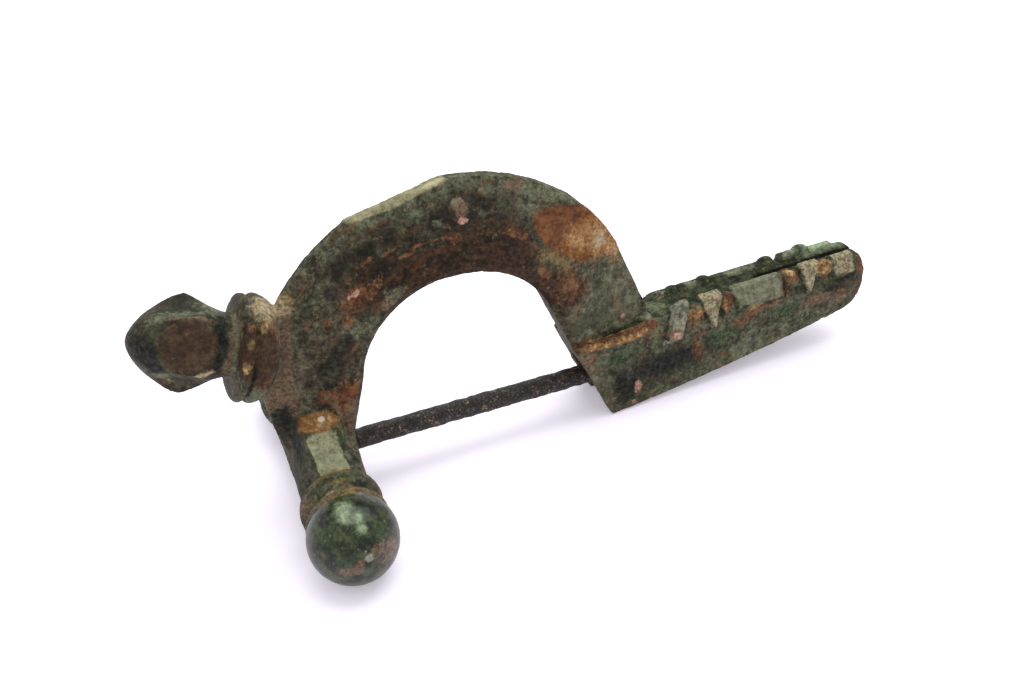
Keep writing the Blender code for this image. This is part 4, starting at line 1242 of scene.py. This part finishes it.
casting_mesh = through_tree("casting", relief_tree(), casting_mesh)
casting_mesh = thinned(casting_mesh, MOST_TRIANGLES)
print("Casting:", len(casting_mesh.polygons), "faces")

# %% [markdown]
# ## The pin
#
# The pin is iron, so it has rusted more than the bronze. It is a forged rod that tapers to a
# point, with an eye that turns on the hinge axis inside the slot.

# %% The pin's rod and eye
PIN_START_X, PIN_DIP_X, PIN_TIP_X = 2.25, 31.0, 51.0
PIN_DIP_Z, PIN_RISE = 3.5, 0.4
PIN_TAPER, TAPER_START, END_SHRINK = 0.72, 0.6, 0.05
EYE_HALF, EYE_HOLE_R, EYE_R, EYE_EDGE = 0.95, 0.95, 2.1, 0.1


def round_angles(steps):
    return [math.tau * step / steps for step in range(steps)]


def pin_point(share):
    """The pin dips a little towards the foot and rises again inside the sheath."""
    x = mix(PIN_START_X, PIN_TIP_X, share)
    dip = min(1.0, (x - PIN_START_X) / (PIN_DIP_X - PIN_START_X))
    rise = max(0.0, (x - PIN_DIP_X) / (PIN_TIP_X - PIN_DIP_X)) ** 1.5
    return Vector((x, 0.0, mix(HINGE_Z, PIN_DIP_Z, dip) + PIN_RISE * rise))


def rod(name, radius, steps=420, sides=40):
    rings = []
    for step in range(steps + 1):
        share = step / steps
        past = max(0.0, (share - TAPER_START) / (1.0 - TAPER_START))
        r = radius * (1.0 - PIN_TAPER * past**1.3)
        r *= END_SHRINK if share in (0.0, 1.0) else 1.0
        offsets = [(0.0, r * math.cos(a), r * math.sin(a)) for a in round_angles(sides)]
        rings.append([pin_point(share) + Vector(offset) for offset in offsets])
    return loft(name, rings)


def eye_mesh():
    half = [(-EYE_HALF, EYE_HOLE_R), (-EYE_HALF, EYE_R - EYE_EDGE), (-EYE_HALF + EYE_EDGE, EYE_R)]
    profile = half + [(-y, r) for y, r in half[::-1]]
    rings = []
    for a in round_angles(48):
        x, z = math.cos(a), math.sin(a)
        rings.append([(HINGE_X + r * x, y, HINGE_Z + r * z) for y, r in profile])
    return loft("eye", rings, is_ring=True)


def iron_tree():
    tree, size, geometry = new_tree("rusted rod", {"Depth": 0.22, "Scale": 1.1, "Seed": 8.0})
    noise = noise_field(tree, position(tree), size["Scale"], 5.0, 0.62, size["Seed"])
    height = (noise - 0.55) * 2.0 * size["Depth"]
    return finished_tree(tree, geometry, iron, Offset=along_normals(tree, height))


pin_mesh = remeshed(one_mesh("pin", [rod("rod", PIN_R), eye_mesh()]), PIN_VOXEL, 1)
pin_mesh = through_tree("pin", iron_tree(), pin_mesh)
print("Pin:", len(pin_mesh.polygons), "faces")

# %% [markdown]
# ## Finishes
#
# The bronze's finish is built in layers, as the real crust grew: a mottled ground first, then
# the marks, each with an edge that is broken up by noise. Some layers are painted light and shade
# and not crust. Every layer is made in the same way, so a class builds the nodes and a table has
# a row for each layer.


# %% Helpers for finishes
WARMTH = 0.93


def shade(material, inputs):
    """Sets or links the inputs of the material's shader."""
    tree = material.node_tree
    for name, value in inputs.items():
        put(tree, value, tree.nodes["Principled BSDF"].inputs[name])


class Finish:
    """Builds a material's nodes. Patterns are in millimetres."""

    def __init__(self, material):
        self.tree = material.node_tree
        inputs = {"Vector": self.node("ShaderNodeTexCoord").outputs["Object"], "Scale": 1.0 / MM}
        self.place = self.node("ShaderNodeVectorMath", inputs, operation="SCALE").outputs[0]

    def node(self, kind, inputs=None, **settings):
        return add_node(self.tree, kind, inputs, **settings)

    def mark(self, name):
        return Field(self.node("ShaderNodeAttribute", attribute_name=name).outputs["Fac"])

    def noise(self, scale, detail, roughness, seed, place=None):
        """A pattern: lumps per millimetre, layers of detail, how strong they are, and its seed."""
        return noise_field(self.tree, place or self.place, scale, detail, roughness, seed)

    def step(self, value, low, high):
        """0 below low, 1 above high, smooth between."""
        inputs = {"Value": value, "From Min": low, "From Max": high}
        node = self.node("ShaderNodeMapRange", inputs, interpolation_type="SMOOTHSTEP")
        return Field(node.outputs[0])

    def ramp(self, value, stops):
        node = self.node("ShaderNodeValToRGB", {"Fac": value})
        while len(node.color_ramp.elements) < len(stops):
            node.color_ramp.elements.new(0.5)
        for element, (place, colour) in zip(node.color_ramp.elements, stops):
            element.position, element.color = place, (*colour, 1.0)
        return node.outputs["Color"]

    def tones(self, value, spread, colours):
        """Colours in thousandths, from dark to light over the noise's own range."""
        last = len(colours) - 1
        warm = [(r / 1000, g / 1000, b / 1000 * WARMTH) for r, g, b in colours]
        stops = [(i / last, colour) for i, colour in enumerate(warm)]
        return self.ramp(self.step(value, 0.5 - spread, 0.5 + spread), stops)

    def over(self, base, top, share):
        node = self.node("ShaderNodeMix", {"Factor": share}, data_type="RGBA")
        colours = [socket for socket in node.inputs if socket.type == "RGBA"]
        put(self.tree, base, colours[0])
        put(self.tree, top, colours[1])
        return next(socket for socket in node.outputs if socket.type == "RGBA")

    def broken(self, name, noise, amount, edge):
        """A mark with an edge that noise breaks up."""
        return self.step(self.mark(name) + (noise - 0.5) * amount, 0.5 - edge, 0.5 + edge)

    def strewn(self, name, noise, edge):
        """Freckles that lie the thicker, the higher the zone's level is."""
        return self.step(noise + (self.mark(name) - 0.5) * 0.5, 0.5 - edge, 0.5 + edge)

    def bump(self, height, distance):
        inputs = {"Height": height, "Distance": distance * MM, "Strength": 1.0}
        return self.node("ShaderNodeBump", inputs).outputs[0]


print("The finishes' blue is", WARMTH, "of what the tables say")

# %% The bronze's colours
# pattern, its spread, and the colours from dark to light, in thousandths
GROUNDS = {
    "ground": (
        "tone", 0.13, [(9, 9, 6), (24, 20, 13), (45, 38, 25), (74, 64, 42), (120, 112, 74)]
    ),
    "green": (
        "tone", 0.13, [(11, 14, 8), (33, 38, 23), (66, 70, 44), (108, 116, 76), (165, 182, 122)]
    ),
    "deep_green": ("mottle", 0.14, [(4, 6, 3), (12, 17, 8), (28, 39, 18), (56, 72, 34)]),
    "red": ("streaky", 0.11, [(10, 6, 5), (36, 19, 12), (80, 40, 23), (150, 74, 40)]),
    "soot": ("flecks", 0.12, [(5, 6, 4), (13, 13, 10), (30, 29, 22)]),
    # pale tones for the painted light
    "painted_light_tones": ("tone", 0.12, [(60, 56, 36), (150, 136, 92), (240, 220, 150)]),
}
# mark, how far noise breaks its edge up, how soft the edge is, strength, pattern, its spread, and
# the colours; a layer with no pattern has one plain colour
LAYERS = [
    ("pale", 1.6, 0.14, 0.9, "tone", 0.11,
     [(110, 118, 72), (225, 235, 150), (300, 308, 205), (400, 405, 280)]),
    ("crust", 0.8, 0.08, 0.9, "tone", 0.11, [(60, 64, 40), (138, 144, 100), (215, 218, 156)]),
    ("cream_crust", 0.8, 0.08, 0.95, "fine", 0.11,
     [(88, 72, 44), (225, 194, 126), (365, 322, 216)]),
    ("slate", 1.0, 0.1, 0.9, "fine", 0.11, [(80, 78, 60), (190, 184, 146), (300, 285, 228)]),
    ("tan", 1.4, 0.25, 0.88, "fine", 0.12, [(62, 42, 28), (126, 84, 56), (190, 138, 96)]),
    ("bright_green", 2.4, 0.3, 0.85, "fine", 0.12, [(9, 18, 8), (24, 46, 20), (62, 92, 42)]),
    # pale green patina, and the painted highlight on the near knob
    ("pale_green", 1.2, 0.4, 0.88, "tone", 0.12,
     [(90, 125, 74), (225, 290, 185), (390, 470, 320)]),
    # verdigris, and painted highlights on the head knob's rims
    ("verdigris", 2.8, 0.25, 0.8, "fine", 0.12, [(50, 60, 36), (105, 120, 76), (170, 190, 128)]),
    ("rust", 2.4, 0.16, 0.9, "tone", 0.11,
     [(28, 12, 7), (80, 34, 17), (140, 66, 32), (210, 115, 60)]),
    ("rust_disc", 0.35, 0.05, 0.97, "tone", 0.13, [(18, 10, 6), (44, 25, 15), (80, 50, 30)]),
    ("ochre", 2.2, 0.22, 0.8, "fine", 0.12, [(70, 47, 19), (148, 104, 44), (235, 178, 78)]),
    ("ember", 1.2, 0.12, 0.92, "clots", 0.11, [(55, 21, 10), (124, 46, 19), (185, 76, 30)]),
    ("orange", 1.1, 0.1, 0.94, "clots", 0.11,
     [(70, 26, 9), (142, 57, 18), (208, 94, 32), (300, 168, 70)]),
    # bright orange; on the flank it is a painted highlight
    ("glow", 2.0, 0.45, 0.8, "fine", 0.11, [(190, 92, 32), (310, 176, 74), (480, 350, 200)]),
    # black stains, and painted shadow lines
    ("ink", 1.3, 0.18, 0.9, "flecks", 0.12, [(3, 4, 4), (10, 12, 11), (26, 28, 24)]),
    # gold-brown rust, and painted glints on its lightest grains
    ("gold", 1.8, 0.14, 0.95, "grit", 0.11,
     [(75, 36, 16), (150, 78, 32), (250, 145, 60), (460, 320, 155)]),
    ("pink", 1.4, 0.12, 0.85, "fine", 0.12, [(150, 75, 55), (370, 195, 148), (560, 365, 295)]),
    # cream crust, and a painted highlight on the flank
    ("cream", 1.8, 0.22, 0.9, "fine", 0.12, [(160, 125, 75), (310, 250, 155), (450, 370, 250)]),
    ("white", 0.6, 0.12, 0.95, None, None, [(620, 560, 470)]),
    ("bare", 0.9, 0.2, 0.9, "tone", 0.12, [(120, 110, 66), (240, 225, 138), (340, 320, 200)]),
    # plain colour of the painted highlight on the crest
    ("painted_highlight", 1.6, 0.3, 0.75, None, None, [(520, 500, 300)]),
]
# Nearly black, for the painted shade
PAINTED_SHADE_COLOUR = (0.005, 0.003, 0.001)
print("Layers of patina:", len(GROUNDS) + len(LAYERS))


# %% The bronze's patina
def finish_bronze():
    f = Finish(bronze)
    grain_way = f.node("ShaderNodeAttribute", attribute_name="grain").outputs["Vector"]
    inputs = {0: grain_way, 1: (0.4, 1.5, 1.2)}
    along_grain = f.node("ShaderNodeVectorMath", inputs, operation="MULTIPLY").outputs[0]
    mottle = f.noise(1.0, 8.0, 0.72, 2.0)
    speckle = f.noise(4.0, 4.0, 0.65, 3.0)
    streaks = f.noise(0.8, 8.0, 0.72, 4.0, along_grain)
    edge_noise = f.noise(1.5, 7.0, 0.72, 5.0)
    blotches = f.noise(0.75, 8.0, 0.74, 6.0)
    flecks = f.noise(2.4, 6.0, 0.72, 7.0)
    patchy = blotches * 0.6 + flecks * 0.4
    fine = flecks * 0.6 + speckle * 0.4
    pattern = {
        "tone": mottle * 0.55 + flecks * 0.25 + speckle * 0.2,
        "mottle": mottle,
        "streaky": streaks * 0.5 + flecks * 0.5,
        "flecks": flecks,
        "fine": fine,
        "clots": mottle * 0.6 + fine * 0.4,
        "grit": mottle * 0.6 + flecks * 0.4,
    }

    ground = {
        kind: f.tones(pattern[name], spread, colours)
        for kind, (name, spread, colours) in GROUNDS.items()
    }
    calm = 1.0 - f.mark("deep_green")
    covers = [
        (ground["green"], f.strewn("green", patchy, 0.09)),
        (ground["deep_green"], f.broken("deep_green", edge_noise, 0.8, 0.15)),
        (ground["red"], f.strewn("red", streaks, 0.07) * 0.9 * calm),
        (ground["soot"], f.strewn("dark", patchy, 0.06) * 0.8 * calm),
        # painted light, a pale layer at a quarter strength
        (ground["painted_light_tones"], f.broken("haze", patchy, 1.0, 0.45) * 0.27),
        # painted shade
        (PAINTED_SHADE_COLOUR, f.broken("dim", patchy, 1.2, 0.45) * 0.55),
    ]
    for name, amount, edge, strength, pattern_name, spread, colours in LAYERS:
        if pattern_name:
            cover = f.tones(pattern[pattern_name], spread, colours)
        else:
            cover = [level / 1000 for level in colours[0]]
        covers.append((cover, f.broken(name, edge_noise, amount, edge) * strength))
    colour = ground["ground"]
    for cover, share in covers:
        colour = f.over(colour, cover, share)

    gloss = f.mark("gloss")
    shade(bronze, {
        "Base Color": colour,
        "Roughness": 0.66 + (mottle - 0.5) * 0.6 - 0.3 * gloss,
        "Specular IOR Level": 0.1,
        "Coat Weight": gloss * 0.32,
        "Coat Roughness": 0.2,
        "Normal": f.bump(speckle * 0.5 + flecks * 0.5, 0.09),
    })


finish_bronze()
print("Bronze:", len(bronze.node_tree.nodes), "nodes")

# %% The pin's rust and the hinge axis
IRON_STOPS = [
    (0.0, (0.006, 0.006, 0.006)),
    (0.4, (0.018, 0.015, 0.013)),
    (0.7, (0.045, 0.034, 0.026)),
    (0.88, (0.090, 0.064, 0.046)),
    (1.0, (0.230, 0.185, 0.140)),
]


def finish_iron(material, seed):
    f = Finish(material)
    coarse = f.noise(1.3, 8.0, 0.74, seed)
    fine = f.noise(5.0, 4.0, 0.65, seed + 1.0)
    shade(material, {
        "Base Color": f.ramp(f.step(coarse * 0.5 + fine * 0.5, 0.40, 0.61), IRON_STOPS),
        "Roughness": 0.6 + (coarse - 0.5) * 0.6,
        "Specular IOR Level": 0.3,
        "Normal": f.bump(fine * 0.6 + coarse * 0.4, 0.12),
    })


finish_iron(iron, 11.0)
finish_iron(axis_iron, 17.0)
print("Iron:", len(iron.node_tree.nodes), "nodes")

# %% [markdown]
# ## Pieces in place
#
# The two meshes are made a thousand times smaller and moved so that the brooch's middle is at
# X = 0, as in the solid model. Each becomes an object at the origin. The casting stands for the
# solid body and the pin for the solid pin. The hinge axis is a plain rod already, so the solid
# stays and gets the iron finish.


# %% Finished pieces
MIDDLE_X = 24.65


def finished_piece(name, mesh, material):
    mesh.transform(Matrix.Scale(MM, 4) @ Matrix.Translation((-MIDDLE_X, 0.0, 0.0)))
    mesh.materials.clear()
    mesh.materials.append(material)
    for face in mesh.polygons:
        face.use_smooth = True
    return add_object(name, mesh)


casting = finished_piece("casting", casting_mesh, bronze)
pin = finished_piece("iron_pin", pin_mesh, iron)
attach(casting, "casting")
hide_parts("body")
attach(pin, "pin")
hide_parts("pin")
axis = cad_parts["hinge_axis"]
for slot in axis.material_slots:
    slot.material = axis_iron
print("Pieces:", casting.name, pin.name, axis.name)

# %% [markdown]
# ## Floor, light and camera
#
# A find is shown on white paper, under one large soft lamp almost overhead. The paper is lit so
# brightly, and glows a little itself, that only the deepest shadows darken it. The camera looks
# down from the head's side, so that the bow's flank, one arm and the whole foot are seen.

# %% Floor and light
floor_mesh = bpy.data.meshes.new("floor")
bm = bmesh.new()
bmesh.ops.create_circle(bm, cap_ends=True, segments=96, radius=4.0)
bm.to_mesh(floor_mesh)
bm.free()
paper = bpy.data.materials.new("white_paper")
paper.use_nodes = True
shade(paper, {
    "Base Color": (0.91, 0.85, 0.96),
    "Emission Color": (0.95, 0.92, 1.0),
    "Emission Strength": 0.25,
    "Roughness": 0.9,
    "Specular IOR Level": 0.0,
})
floor_mesh.materials.append(paper)
floor = add_object("floor", floor_mesh)
floor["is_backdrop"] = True

world = bpy.data.worlds.new("studio")
world.use_nodes = True
background = world.node_tree.nodes["Background"]
put(world.node_tree, (1.0, 1.0, 1.0), background.inputs["Color"])
put(world.node_tree, 0.9, background.inputs["Strength"])
scene.world = world

lamp = bpy.data.lights.new("overhead_lamp", "SUN")
lamp.energy, lamp.angle = 2.1, math.radians(60.0)
lamp_object = add_object("overhead_lamp", lamp)
lamp_way = Vector((0.30, 0.30, 0.91))
lamp_object.rotation_mode = "QUATERNION"
lamp_object.rotation_quaternion = lamp_way.to_track_quat("Z", "Y")
print("Lamp:", lamp.energy, "world:", background.inputs["Strength"].default_value)

# %% Camera
camera_data = bpy.data.cameras.new("camera")
camera_data.sensor_width, camera_data.lens = 36.0, 42.19
camera_data.clip_start, camera_data.clip_end = 0.005, 20.0
camera = add_object("camera", camera_data)
azimuth, elevation, roll = math.radians(-20.54), math.radians(35.0), math.radians(-4.0)
back = Vector((
    math.sin(azimuth) * math.cos(elevation),
    -math.cos(azimuth) * math.cos(elevation),
    math.sin(elevation),
))
camera.rotation_mode = "QUATERNION"
facing = back.to_track_quat("Z", "Y")
camera.rotation_quaternion = facing @ Matrix.Rotation(roll, 3, "Z").to_quaternion()
camera.location = Vector((-37.915, -94.35, 81.01)) * MM
scene.camera = camera
scene.view_settings.view_transform = "Standard"
print("Camera looks from", [round(v, 3) for v in camera.location])

# %% Sizes of the solid and the finished model
visual_low, visual_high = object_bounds()
sizes = {"cad": [list(cad_low), list(cad_high)], "visual": [list(visual_low), list(visual_high)]}
print("Visual box in mm:", [round(v / MM, 2) for v in (*visual_low, *visual_high)])
